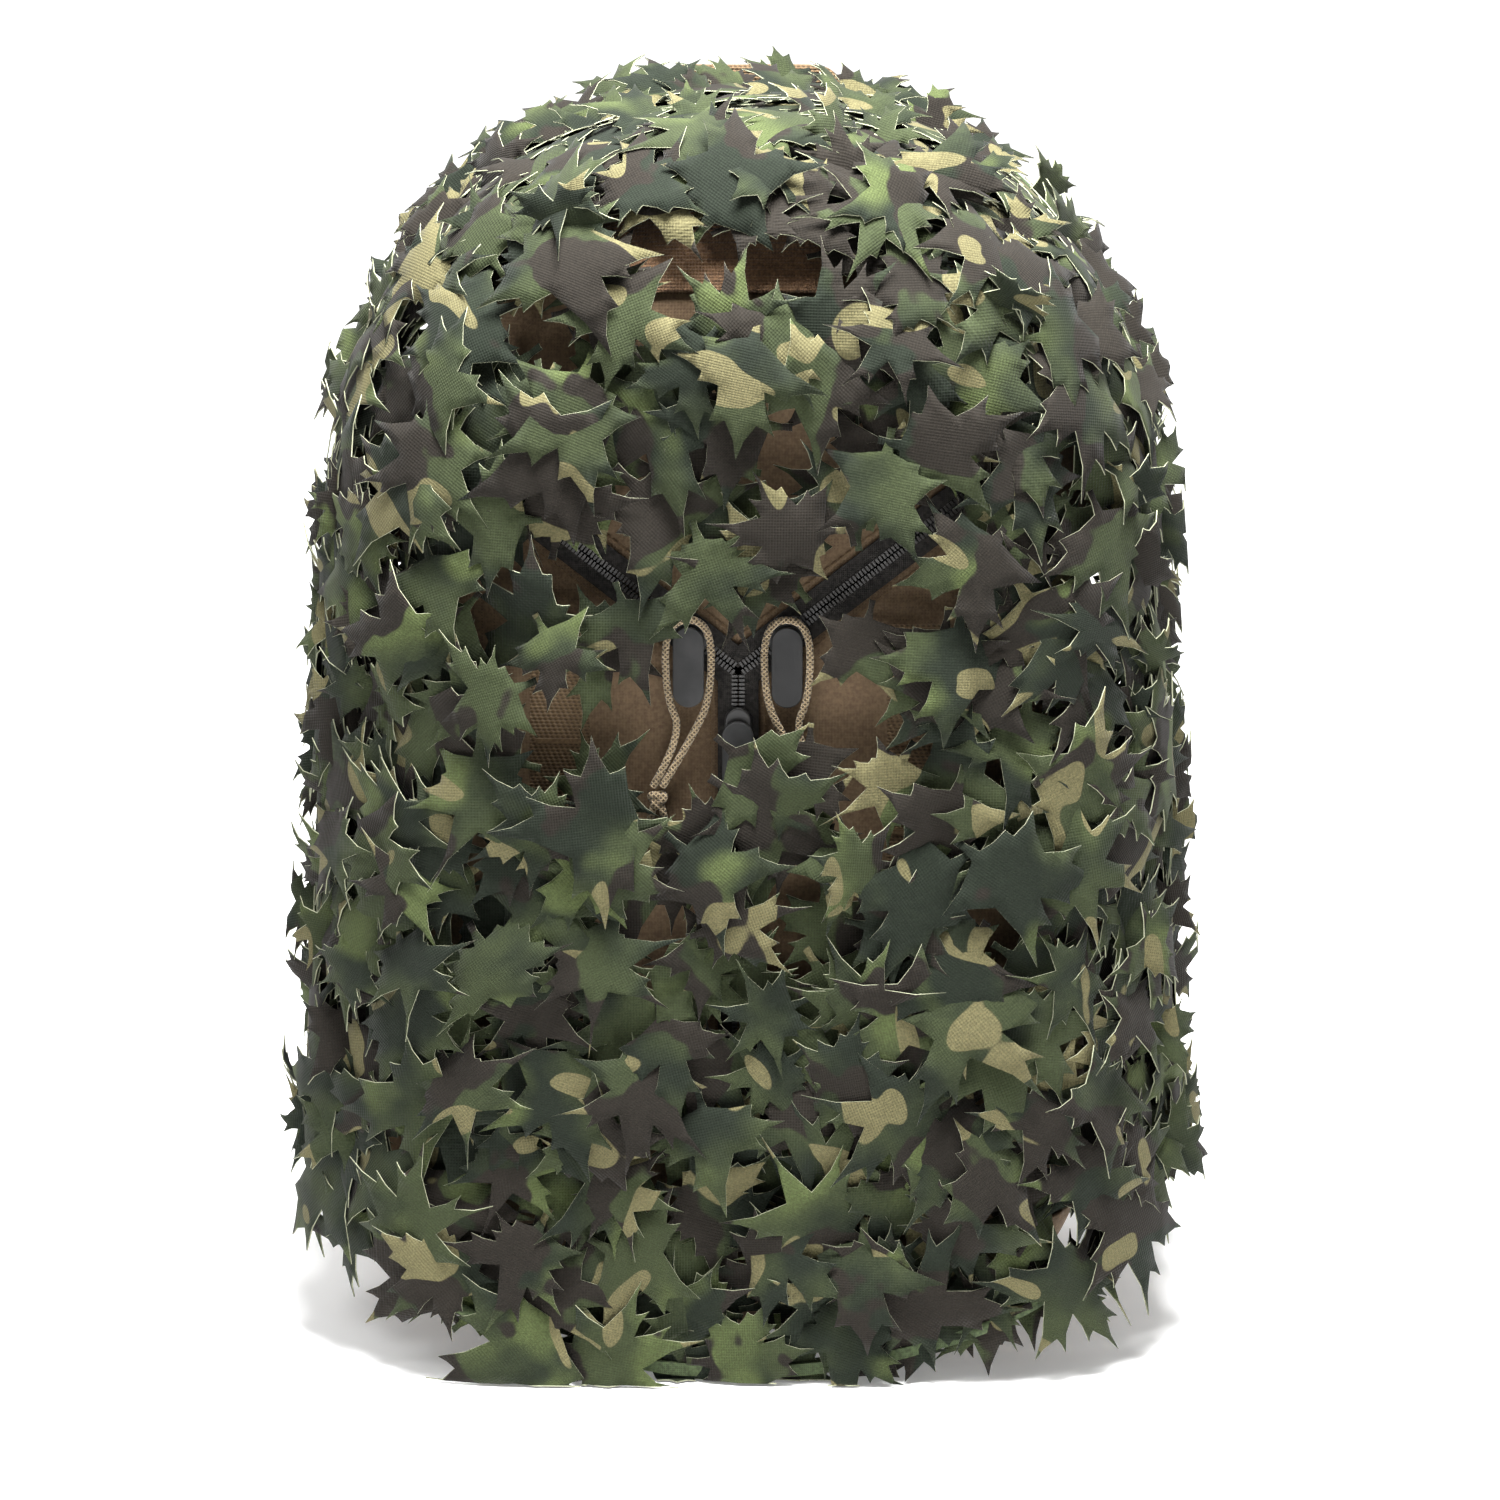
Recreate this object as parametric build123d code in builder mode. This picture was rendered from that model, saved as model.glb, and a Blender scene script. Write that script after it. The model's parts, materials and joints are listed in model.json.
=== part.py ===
"""A three-zip field pack of about 30 litres wearing a leaf-cut camouflage cover. Millimetres.

+Z is up, -Y is the front that carries the zips, +Y is the side against the wearer's back, +X is the
viewer's right. The origin is on the floor, under the middle of the pack.

The pack's cloth walls are one rounded form cut into the panels it is sewn from. Three front flaps
meet at a Y of zips: a top flap above the two slanting zips, and a left and a right flap beside the
upright one. The cover is a larger form, open behind and below, so that it lifts off forwards and up.
"""

import os
from math import cos, pi, radians, sin, tan

from build123d import *

# ---- driving dimensions ---------------------------------------------------------------------------
HALF_WIDTH_LOW = 150.0  # half the pack's width at the floor
HALF_WIDTH_TOP = 143.0  # half its width at the top, where the sides would meet it
HEIGHT = 505.0
FRONT_Y = -115.0
BACK_Y = 115.0
LOW_CORNER = 85.0  # corner radii of the front view
TOP_CORNER = 128.0
FRONT_ROUND = 55.0  # rounding of the whole front edge
BACK_ROUND = 12.0
WALL = 4.0  # cloth, foam and lining together

SILL_Z = 60.0  # the front flaps fold out above this line
SIDE_FOLD_Y = -52.0  # the side flaps fold along this upright line
LID_FOLD_Y = 70.0  # the top flap folds along this line
REAR_SEAM_Y = 98.0  # seam between the side walls and the back panel
FOLD_GAP = 1.0

VEE_Z = 304.0  # height where the three zips meet
VEE_SLOPE = radians(38.0)
ZIP_SLIT = 1.2  # from a zip's centre line to the edge of its tape
ZIP_TAPE = 8.5  # from a zip's centre line to the far edge of its tape
ZIP_CUTBACK = 7.0  # from a zip's centre line to the edge of the cloth
TAPE_LOW, TAPE_HIGH = 0.1, 1.5  # the tape's two faces, above the cloth

WEBBING = 25.0
WEBBING_THICK = 1.6

COVER_GAP = 16.0  # between the pack's front and the cover
COVER_THICK = 5.0
COVER_HALF_LOW = 186.0
COVER_HALF_TOP = HALF_WIDTH_TOP + COVER_GAP
COVER_FRONT_ROUND = 85.0
COVER_HEM_Z = 2.0
COVER_HEM_WIDE = 5.0
COVER_HEM_REACH = 200.0  # the hem is a bow, this wide to each side of its lowest point
COVER_HEM_RISE = 85.0  # and this high there
COVER_REAR_Y = 95.0
COVER_SEAM_Y = -50.0

FAR = 400.0  # beyond everything, for cutting regions


# ---- helpers --------------------------------------------------------------------------------------
def rounded_form(half_low, half_top, low, top, front, back, corners, front_round, back_round):
    """A slab with a tapered, round-cornered front view and a rounded front edge."""
    with BuildPart() as form:
        with BuildSketch(Plane.XZ.offset(-back)) as outline:
            with BuildLine():
                Polyline(
                    (-half_low, low), (half_low, low), (half_top, top), (-half_top, top), close=True
                )
            make_face()
            fillet(outline.vertices().group_by(Axis.Y)[0], corners[0])
            fillet(outline.vertices().group_by(Axis.Y)[-1], corners[1])
        extrude(amount=back - front)
        fillet(form.faces().sort_by(Axis.Y)[0].edges(), front_round)
        if back_round:
            fillet(form.faces().sort_by(Axis.Y)[-1].edges(), back_round)
    return form.part


def pack_form(grow):
    """The pack's outer form, grown by this much all over."""
    return rounded_form(
        HALF_WIDTH_LOW + grow,
        HALF_WIDTH_TOP + grow,
        -grow,
        HEIGHT + grow,
        FRONT_Y - grow,
        BACK_Y + grow,
        (LOW_CORNER + grow, TOP_CORNER + grow),
        FRONT_ROUND + grow,
        BACK_ROUND + grow,
    )


def cover_form(grow, rear_y):
    """The cover's inner form, grown by this much. Its bottom lies far below the hem, which trims it."""
    depth_below = 200.0
    taper = (COVER_HALF_LOW - COVER_HALF_TOP) / (HEIGHT + COVER_GAP)
    return rounded_form(
        COVER_HALF_LOW + taper * depth_below + grow,
        COVER_HALF_TOP + grow,
        -depth_below,
        HEIGHT + COVER_GAP + grow,
        FRONT_Y - COVER_GAP - grow,
        rear_y,
        (LOW_CORNER + COVER_FRONT_ROUND, TOP_CORNER + COVER_GAP + grow),
        COVER_FRONT_ROUND + grow,
        0,
    )


def block(x, y, z):
    """A box between two limits on each axis, made to cut or add as its builder says."""
    centre = ((x[0] + x[1]) / 2, (y[0] + y[1]) / 2, (z[0] + z[1]) / 2)
    with Locations(centre):
        return Box(x[1] - x[0], y[1] - y[0], z[1] - z[0], mode=Mode.PRIVATE)


def vee(x, off):
    """Height of the slanting zips' centre line, moved off it at right angles: above if positive."""
    return VEE_Z + abs(x) * tan(VEE_SLOPE) + off / cos(VEE_SLOPE)


def front_region(points, y):
    """A region drawn in the front view and running through the given depths."""
    with BuildPart() as region:
        with BuildSketch(Plane.XZ.offset(-y[1])):
            with BuildLine():
                Polyline(*points, close=True)
            make_face()
        extrude(amount=y[1] - y[0])
    return region.part


def above_vee(off, y):
    return front_region([(-FAR, vee(FAR, off)), (0, vee(0, off)), (FAR, vee(FAR, off)), (0, 2 * FAR)], y)


def half_below_vee(side, off, inner, low, y):
    """The region below one slanting zip, on one side of the upright zip."""
    points = [(inner, low), (FAR, low), (FAR, vee(FAR, -off)), (inner, vee(inner, -off))]
    return front_region([(side * px, pz) for px, pz in points], y)


def vee_band(side, low_off, high_off, inner, y):
    """A band along one slanting zip."""
    points = [(inner, vee(inner, low_off)), (FAR, vee(FAR, low_off))]
    points += [(FAR, vee(FAR, high_off)), (inner, vee(inner, high_off))]
    return front_region([(side * px, pz) for px, pz in points], y)


def save(name, part):
    """Writes one sub-part, labelled with its node's name."""
    part.label = name
    export_step(part, f"parts/{name}.step")


def skin(low, high):
    """A thin layer on the pack's surface, between two heights above the cloth."""
    return pack_form(high) - pack_form(low)


SIDES = {"left": -1, "right": 1}
os.makedirs("parts", exist_ok=True)

# ---- the pack's cloth walls -----------------------------------------------------------------------
walls = pack_form(0) - pack_form(-WALL)
front_depths = (-FAR, SIDE_FOLD_Y - FOLD_GAP)
lid_depths = (-FAR, LID_FOLD_Y - FOLD_GAP)

with BuildPart() as back_panel:
    add(walls)
    add(block((-FAR, FAR), (REAR_SEAM_Y, FAR), (-FAR, 2 * FAR)), mode=Mode.INTERSECT)

with BuildPart() as bottom_pan:
    add(walls)
    add(block((-FAR, FAR), (-FAR, REAR_SEAM_Y), (-FAR, SILL_Z)), mode=Mode.INTERSECT)

with BuildPart() as top_yoke:
    add(walls)
    add(above_vee(ZIP_CUTBACK, (LID_FOLD_Y, REAR_SEAM_Y)), mode=Mode.INTERSECT)

with BuildPart() as top_flap_panel:
    add(walls)
    add(above_vee(ZIP_CUTBACK, lid_depths), mode=Mode.INTERSECT)

save("back_panel", back_panel.part)
save("bottom_pan", bottom_pan.part)
save("top_yoke", top_yoke.part)
save("top_flap_panel", top_flap_panel.part)

for name, side in SIDES.items():
    with BuildPart() as side_panel:
        add(walls)
        add(half_below_vee(side, -ZIP_CUTBACK + FOLD_GAP, 0, SILL_Z, (SIDE_FOLD_Y, REAR_SEAM_Y)),
            mode=Mode.INTERSECT)
    with BuildPart() as flap_panel:
        add(walls)
        add(half_below_vee(side, ZIP_CUTBACK, ZIP_CUTBACK, SILL_Z + FOLD_GAP, front_depths),
            mode=Mode.INTERSECT)
    save(f"{name}_side_panel", side_panel.part)
    save(f"{name}_flap_panel", flap_panel.part)

# ---- zip tapes ------------------------------------------------------------------------------------
tape_skin = skin(TAPE_LOW, TAPE_HIGH)

with BuildPart() as top_zip_half:
    add(tape_skin)
    add(above_vee(ZIP_SLIT, front_depths), mode=Mode.INTERSECT)
    add(above_vee(ZIP_TAPE, front_depths), mode=Mode.SUBTRACT)
save("top_zip_half", top_zip_half.part)

for name, side in SIDES.items():
    with BuildPart() as zip_half:
        add(tape_skin)
        add(half_below_vee(side, ZIP_SLIT, ZIP_SLIT, SILL_Z + FOLD_GAP, front_depths),
            mode=Mode.INTERSECT)
        add(half_below_vee(side, ZIP_TAPE, ZIP_TAPE, -FAR, front_depths), mode=Mode.SUBTRACT)
    save(f"{name}_zip_half", zip_half.part)

# ---- zip sliders, their pull tabs and cords -------------------------------------------------------
SLIDER = (18.0, 11.0, 3.0)  # length along the zip, width, thickness
SLIDER_CLEAR = 0.5  # above the tape
SLIDER_REST = 26.0  # a slanting zip's slider, from where the zips meet, along the zip
CENTER_SLIDER_Z = 280.0
TAB = (13.0, 34.0, 2.6)  # width, length, thickness
BAIL_RADIUS = 3.0
CORD_RADIUS = 1.6
CORD_BESIDE = 9.5  # from the tab's middle line to a strand's centre, beside the tab
CORD_CLOSE = CORD_RADIUS + 0.4  # the same below the tab, where the strands lie side by side
CORD_DROP = 64.0  # from a slider's middle down to the knot
CORD_DRIFT = 13.0  # how far to the outside the knot hangs
KNOT_RADIUS = 4.4
KNOT_GAP = 0.9  # the cord's slanting ends just clear it

tape_y = FRONT_Y - TAPE_HIGH
slider_y = tape_y - SLIDER_CLEAR  # the slider's face against the tape
slider_top_y = slider_y - SLIDER[2]
tab_y = (slider_top_y - 1.6, slider_top_y - 1.6 - TAB[2])  # the tab's two faces
tab_mid_y = (tab_y[0] + tab_y[1]) / 2


def slider_place(name):
    """Where a slider rests, and the direction in the front view in which it opens."""
    if name == "center":
        return (0.0, CENTER_SLIDER_Z), (0.0, -1.0)
    side = SIDES[name]
    x, z = SLIDER_REST * cos(VEE_SLOPE), SLIDER_REST * sin(VEE_SLOPE)
    return (side * x, VEE_Z + z), (side * cos(VEE_SLOPE), sin(VEE_SLOPE))


def slider_body(name):
    """A slider's outer plate, round at one end, with the bail that the tab hangs from."""
    (x, z), (run_x, run_z) = slider_place(name)
    plate_plane = Plane(origin=(x, slider_y, z), x_dir=(run_x, 0, run_z), z_dir=(0, -1, 0))
    with BuildPart() as slider:
        with BuildSketch(plate_plane):
            SlotOverall(SLIDER[0], SLIDER[1])
        extrude(amount=SLIDER[2])
        fillet(slider.faces().sort_by(Axis.Y)[0].edges(), 0.9)
        with BuildSketch(Plane(origin=(x, slider_top_y, z), x_dir=(1, 0, 0), z_dir=(0, -1, 0))):
            SlotOverall(BAIL_RADIUS * 2.4, BAIL_RADIUS)
        extrude(amount=0.9)
    return slider.part


def pull_tab(name):
    """The moulded tab, hanging straight down in front of its slider."""
    (x, z), _ = slider_place(name)
    length = TAB[1]
    with BuildPart() as tab:
        with BuildSketch(Plane(origin=(x, tab_y[0], z), x_dir=(1, 0, 0), z_dir=(0, -1, 0))):
            with Locations((0, BAIL_RADIUS + 1 - length / 2)):
                SlotOverall(length, TAB[0], rotation=90)
        extrude(amount=TAB[2])
        fillet(tab.faces().filter_by(GeomType.PLANE).filter_by(Axis.Y).edges(), 0.6)
    return tab.part


def pull_cord(name):
    """A cord over the tab and down both its sides, its two ends going into one knot."""
    (x, z), _ = slider_place(name)
    knot_x = x + SIDES[name] * CORD_DRIFT
    route = [
        (knot_x - CORD_CLOSE, tab_mid_y, z - CORD_DROP),
        (x - CORD_CLOSE, tab_mid_y, z - 42),
        (x - CORD_BESIDE, tab_mid_y, z - 25),
        (x - CORD_BESIDE, tab_mid_y, z + 7),
        (x + CORD_BESIDE, tab_mid_y, z + 7),
        (x + CORD_BESIDE, tab_mid_y, z - 25),
        (x + CORD_CLOSE, tab_mid_y, z - 42),
        (knot_x + CORD_CLOSE, tab_mid_y, z - CORD_DROP),
    ]
    radii = []
    for before, here, after in zip(route, route[1:], route[2:]):
        first, second = Vector(*here) - Vector(*before), Vector(*after) - Vector(*here)
        half_turn = radians(first.get_angle(second)) / 2
        radii.append(0.45 * min(first.length, second.length) / tan(half_turn))
    with BuildPart() as cord:
        with BuildLine() as path:
            FilletPolyline(*route, radius=radii)
        with BuildSketch(Plane(origin=path.line @ 0, z_dir=path.line % 0)):
            Circle(CORD_RADIUS)
        sweep()
    length = sum(edge.length for edge in path.edges())
    print(name, "pull cord's radii", [round(r, 1) for r in radii], "length", round(length, 1),
          "volume share", round(cord.part.volume / (length * pi * CORD_RADIUS**2), 3))
    with BuildPart() as knot:
        with Locations((knot_x, tab_mid_y, z - CORD_DROP - KNOT_RADIUS - KNOT_GAP)):
            Sphere(KNOT_RADIUS)
    return cord.part, knot.part


for name in ("left", "right", "center"):
    save(f"{name}_slider", slider_body(name))
    save(f"{name}_pull_tab", pull_tab(name))
for name in SIDES:
    cord_part, knot_part = pull_cord(name)
    save(f"{name}_pull_cord", cord_part)
    save(f"{name}_cord_knot", knot_part)

# ---- what is sewn on the top flap: loop field, pocket zip and its slider --------------------------
LID_ZIP_Z = 438.0
LID_ZIP_HALF = 66.0
LID_SLIDER_X = -50.0

with BuildPart() as loop_field:
    add(skin(0.2, 1.8))
    add(block((-72, 72), (-FAR, -60), (462, 494)), mode=Mode.INTERSECT)
save("loop_field", loop_field.part)

with BuildPart() as lid_pocket_zip:
    add(block((-LID_ZIP_HALF, LID_ZIP_HALF), (tape_y, FRONT_Y - TAPE_LOW), (LID_ZIP_Z - 11, LID_ZIP_Z + 11)))
save("lid_pocket_zip", lid_pocket_zip.part)

with BuildPart() as lid_pocket_slider:
    with BuildSketch(
        Plane(origin=(LID_SLIDER_X, slider_y, LID_ZIP_Z), x_dir=(1, 0, 0), z_dir=(0, -1, 0))
    ):
        SlotOverall(14, 9)
    extrude(amount=2.6)
    with BuildSketch(
        Plane(origin=(LID_SLIDER_X, slider_y - 2.6, LID_ZIP_Z), x_dir=(1, 0, 0), z_dir=(0, -1, 0))
    ):
        with Locations((0, -9)):
            SlotOverall(24, 7, rotation=90)
    extrude(amount=1.8)
save("lid_pocket_slider", lid_pocket_slider.part)

# ---- webbing on the front flaps and on the bottom pan ---------------------------------------------
FRONT_STRAP_X = (62.0, 62.0 + WEBBING)
LOW_STRAP_X = (34.0, 34.0 + WEBBING)
webbing_skin = skin(0.2, 0.2 + WEBBING_THICK)

for name, side in SIDES.items():
    span = sorted(side * edge for edge in FRONT_STRAP_X)
    with BuildPart() as front_webbing:
        add(webbing_skin)
        add(block(span, (-FAR, SIDE_FOLD_Y - FOLD_GAP), (SILL_Z + 6, 324)), mode=Mode.INTERSECT)
    save(f"{name}_front_webbing", front_webbing.part)

with BuildPart() as lower_front_straps:
    for side in SIDES.values():
        span = sorted(side * edge for edge in LOW_STRAP_X)
        add(webbing_skin & block(span, (-FAR, -50), (7, SILL_Z - 2)))
save("lower_front_straps", lower_front_straps.part)

GLIDE = (34.0, 20.0, 3.2)  # width, height, thickness of a strap's glide
with BuildPart() as strap_glides:
    for side in SIDES.values():
        middle = side * sum(LOW_STRAP_X) / 2
        with BuildSketch(Plane(origin=(middle, FRONT_Y - 2.6, 46), x_dir=(1, 0, 0), z_dir=(0, -1, 0))):
            RectangleRounded(GLIDE[0], GLIDE[1], 3)
            with GridLocations(0, 9.6, 1, 2):
                RectangleRounded(GLIDE[0] - 7, 3.6, 1, mode=Mode.SUBTRACT)
        extrude(amount=GLIDE[2])
save("strap_glides", strap_glides.part)

# ---- side pockets and side compression straps -----------------------------------------------------
POCKET_X = (150.4, 168.0)
POCKET_Y = (-40.0, 85.0)
POCKET_Z = (62.0, 205.0)
POCKET_WALL = 1.8
STRAP_Z = 340.0
PACK_TAPER = (HALF_WIDTH_LOW - HALF_WIDTH_TOP) / HEIGHT
STRAP_FACE_X = HALF_WIDTH_LOW - PACK_TAPER * (STRAP_Z - WEBBING / 2)

for name, side in SIDES.items():
    span = sorted(side * edge for edge in POCKET_X)
    hollow = sorted(side * edge for edge in (POCKET_X[0] + POCKET_WALL, POCKET_X[1] - POCKET_WALL))
    with BuildPart() as side_pocket:
        add(block(span, POCKET_Y, POCKET_Z))
        outer_face = side_pocket.faces().sort_by(Axis.X)[-1 if side > 0 else 0]
        fillet(outer_face.edges().filter_by(Axis.Z), 8)
        add(
            block(
                hollow,
                (POCKET_Y[0] + 5, POCKET_Y[1] - 5),
                (POCKET_Z[0] + POCKET_WALL, POCKET_Z[1] + 1),
            ),
            mode=Mode.SUBTRACT,
        )
    save(f"{name}_side_pocket", side_pocket.part)

# A side-release buckle in its own frame: x is the way the plug pulls out, y its width, z up off the
# cloth. Its origin is on the cloth, at the socket's mouth.
BUCKLE = (26.0, 34.0, 9.0)  # socket length, width, thickness
PLUG_BASE = 14.0
PRONG = (16.0, 5.0, 4.0)
PLUG_TRAVEL = 18.0


def buckle_socket(plane):
    length, width, thick = BUCKLE
    with BuildPart(plane) as socket:
        with Locations((-length / 2, 0, thick / 2)):
            Box(length, width, thick)
        fillet(socket.edges().filter_by(Axis(plane.origin, plane.z_dir)), 4)
        with Locations((-10, 0, thick / 2)):
            Box(20.2, width - 7, PRONG[2] + 1.2, mode=Mode.SUBTRACT)
        with Locations((-length + 3.2, 0, thick / 2)):
            Box(2.4, WEBBING + 1, thick + 1, mode=Mode.SUBTRACT)
    return socket.part


def buckle_plug(plane):
    width, thick = BUCKLE[1], BUCKLE[2]
    with BuildPart(plane) as plug:
        with Locations((PLUG_BASE / 2 + 0.4, 0, thick / 2)):
            Box(PLUG_BASE, width, thick)
        fillet(plug.edges().filter_by(Axis(plane.origin, plane.z_dir)), 3)
        with Locations((PLUG_BASE - 3, 0, thick / 2)):
            Box(2.4, WEBBING + 1, thick + 1, mode=Mode.SUBTRACT)
        with Locations((0.5 - PRONG[0] / 2, -9, thick / 2), (0.5 - PRONG[0] / 2, 9, thick / 2)):
            Box(*PRONG)
        with Locations((0.5 - PRONG[0] / 2, 0, thick / 2)):
            Box(PRONG[0], 8, PRONG[2])
    return plug.part


BUCKLE_Y = 40.0
for name, side in SIDES.items():
    face_x = side * (STRAP_FACE_X + 0.4 + WEBBING_THICK + 0.2)
    plane = Plane(origin=(face_x, BUCKLE_Y, STRAP_Z), x_dir=(0, -1, 0), z_dir=(side, 0, 0))
    save(f"{name}_buckle_socket", buckle_socket(plane))
    save(f"{name}_buckle_plug", buckle_plug(plane))
    strap_x = sorted(side * edge for edge in (STRAP_FACE_X + 0.4, STRAP_FACE_X + 0.4 + WEBBING_THICK))
    strap_z = (STRAP_Z - WEBBING / 2, STRAP_Z + WEBBING / 2)
    with BuildPart() as compression_strap:
        add(block(strap_x, (-28, 92), strap_z))
    save(f"{name}_compression_strap", compression_strap.part)

# ---- inside: frame sheet, stay and sleeve ---------------------------------------------------------
with BuildPart() as frame_sheet:
    with BuildSketch(Plane.XZ.offset(-109)):
        with Locations((0, 250)):
            RectangleRounded(224, 360, 30)
    extrude(amount=2)
save("frame_sheet", frame_sheet.part)

with BuildPart() as frame_stay:
    with BuildSketch(Plane.XZ.offset(-106.6)):
        with Locations((0, 250)):
            SlotOverall(350, 25, rotation=90)
    extrude(amount=3)
save("frame_stay", frame_stay.part)

with BuildPart() as hydration_sleeve:
    with BuildSketch(Plane.XZ.offset(-101)):
        with Locations((0, 190)):
            RectangleRounded(220, 240, 12)
    extrude(amount=1.5)
save("hydration_sleeve", hydration_sleeve.part)

# ---- back: pads, shoulder straps, webbing, sternum strap, haul handle ------------------------------
back_face = BACK_Y + 0.4


def back_pad(width, low, high, thick):
    with BuildPart() as pad:
        with BuildSketch(Plane.XZ.offset(-back_face)):
            with Locations((0, (low + high) / 2)):
                RectangleRounded(width, high - low, 22)
        extrude(amount=-thick)
        fillet(pad.faces().sort_by(Axis.Y)[-1].edges(), thick * 0.45)
    return pad.part


save("upper_back_pad", back_pad(196, 248, 385, 11))
save("lumbar_pad", back_pad(112, 62, 182, 16))

STRAP_INNER_X = 48.0
STRAP_WIDTH = 60.0
STERNUM_Z = 345.0
strap_middle = STRAP_INNER_X + STRAP_WIDTH / 2

for name, side in SIDES.items():
    with BuildPart() as shoulder_strap:
        with BuildSketch(Plane.YZ.offset(side * strap_middle)):
            with BuildLine():
                outer = ThreePointArc((back_face, 460), (167, 325), (137, 182))
                inner = ThreePointArc((back_face, 440), (153, 325), (128, 192))
                Line(outer @ 0, inner @ 0)
                Line(outer @ 1, inner @ 1)
            make_face()
        extrude(amount=STRAP_WIDTH / 2, both=True)
        fillet(shoulder_strap.edges().filter_by(GeomType.CIRCLE), 4)
    save(f"{name}_shoulder_strap", shoulder_strap.part)

with BuildPart() as ladder_locks:
    for side in SIDES.values():
        with BuildSketch(
            Plane(origin=(side * strap_middle, 134.5, 170), x_dir=(1, 0, 0), z_dir=(0, 1, 0))
        ):
            RectangleRounded(34, 18, 3)
            with GridLocations(0, 8.4, 1, 2):
                RectangleRounded(27, 3.6, 1, mode=Mode.SUBTRACT)
        extrude(amount=2, both=True)
save("ladder_locks", ladder_locks.part)

with BuildPart() as lower_webbings:
    for side in SIDES.values():
        with BuildSketch(Plane.YZ.offset(side * strap_middle)):
            with BuildLine():
                Polyline((117.6, 34), (116, 34), (130, 162), (131.8, 162), close=True)
            make_face()
        extrude(amount=WEBBING / 2, both=True)
save("lower_webbings", lower_webbings.part)

with BuildPart() as load_lifters:
    for side in SIDES.values():
        with BuildSketch(Plane.YZ.offset(side * strap_middle)):
            with BuildLine():
                Polyline((116, 488), (117.8, 488), (154.4, 420), (152.8, 419), close=True)
            make_face()
        extrude(amount=10, both=True)
save("load_lifters", load_lifters.part)

# The sternum strap lies on the shoulder straps' outer faces.
sternum_y = 168.0
sternum_plane = Plane(origin=(2, sternum_y + WEBBING_THICK + 0.2, STERNUM_Z), x_dir=(1, 0, 0), z_dir=(0, 1, 0))
save("sternum_socket", buckle_socket(sternum_plane))
save("sternum_plug", buckle_plug(sternum_plane))
with BuildPart() as sternum_straps:
    for side in SIDES.values():
        span = sorted((side * 4.0, side * (STRAP_INNER_X + 22)))
        add(block(span, (sternum_y, sternum_y + WEBBING_THICK), (STERNUM_Z - 10, STERNUM_Z + 10)))
save("sternum_straps", sternum_straps.part)

# The haul handle stands up from a strip sewn to the back panel, and folds back about its lower bar.
HANDLE = (84.0, 52.0, 4.0)  # width, height, thickness
HANDLE_BAR = 10.0
HANDLE_FOOT_Z = 484.0
handle_middle_z = HANDLE_FOOT_Z + HANDLE[1] / 2
with BuildPart() as haul_handle:
    with BuildSketch(Plane.XZ.offset(-BACK_Y - 3.4)):
        with Locations((0, handle_middle_z)):
            RectangleRounded(HANDLE[0], HANDLE[1], 14)
            RectangleRounded(HANDLE[0] - 2 * HANDLE_BAR, HANDLE[1] - 2 * HANDLE_BAR, 8, mode=Mode.SUBTRACT)
    extrude(amount=-HANDLE[2])
    fillet(haul_handle.faces().filter_by(Plane.XZ).edges(), 1.2)
save("haul_handle", haul_handle.part)

with BuildPart() as handle_base:
    add(block((-46, 46), (BACK_Y + 0.2, BACK_Y + 2.0), (HANDLE_FOOT_Z - 14, HANDLE_FOOT_Z + 2)))
save("handle_base", handle_base.part)

# ---- the leaf-cut cover ---------------------------------------------------------------------------
def above_hem(inset):
    """Everything above the hem's lower edge, moved up by this much."""
    low = COVER_HEM_Z + inset
    ends = [(side * COVER_HEM_REACH, low + COVER_HEM_RISE) for side in (-1, 1)]
    with BuildPart() as region:
        with BuildSketch(Plane.XZ):
            with BuildLine():
                ThreePointArc(ends[0], (0, low), ends[1])
                Polyline(ends[1], (COVER_HEM_REACH, 2 * FAR), (-COVER_HEM_REACH, 2 * FAR), ends[0])
            make_face()
        extrude(amount=FAR, both=True)
    return region.part


HEM_PROUD = 0.8  # the hem's binding stands this far off both faces of the cloth
seam_gap = 0.2
cover_shell = cover_form(COVER_THICK, COVER_REAR_Y) - cover_form(0, COVER_REAR_Y + 1)
cover_cloth = cover_shell & above_hem(COVER_HEM_WIDE + seam_gap)
cover_top_z = HEIGHT - TOP_CORNER

with BuildPart() as cover_front:
    add(cover_cloth)
    add(block((-FAR, FAR), (-FAR, COVER_SEAM_Y), (-FAR, 2 * FAR)), mode=Mode.INTERSECT)
save("cover_front", cover_front.part)

with BuildPart() as cover_top:
    add(cover_cloth)
    add(block((-FAR, FAR), (COVER_SEAM_Y + seam_gap, FAR), (cover_top_z, 2 * FAR)), mode=Mode.INTERSECT)
save("cover_top", cover_top.part)

for name, side in SIDES.items():
    with BuildPart() as cover_side:
        add(cover_cloth)
        add(
            block(
                sorted((0, side * FAR)),
                (COVER_SEAM_Y + seam_gap, FAR),
                (-FAR, cover_top_z - seam_gap),
            ),
            mode=Mode.INTERSECT,
        )
    save(f"cover_{name}", cover_side.part)


def cover_half_width(z):
    """Half the cover's width at a height, at the middle of its thickness."""
    taper = (COVER_HALF_LOW - COVER_HALF_TOP) / (HEIGHT + COVER_GAP)
    return COVER_HALF_LOW - taper * z + COVER_THICK / 2


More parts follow.
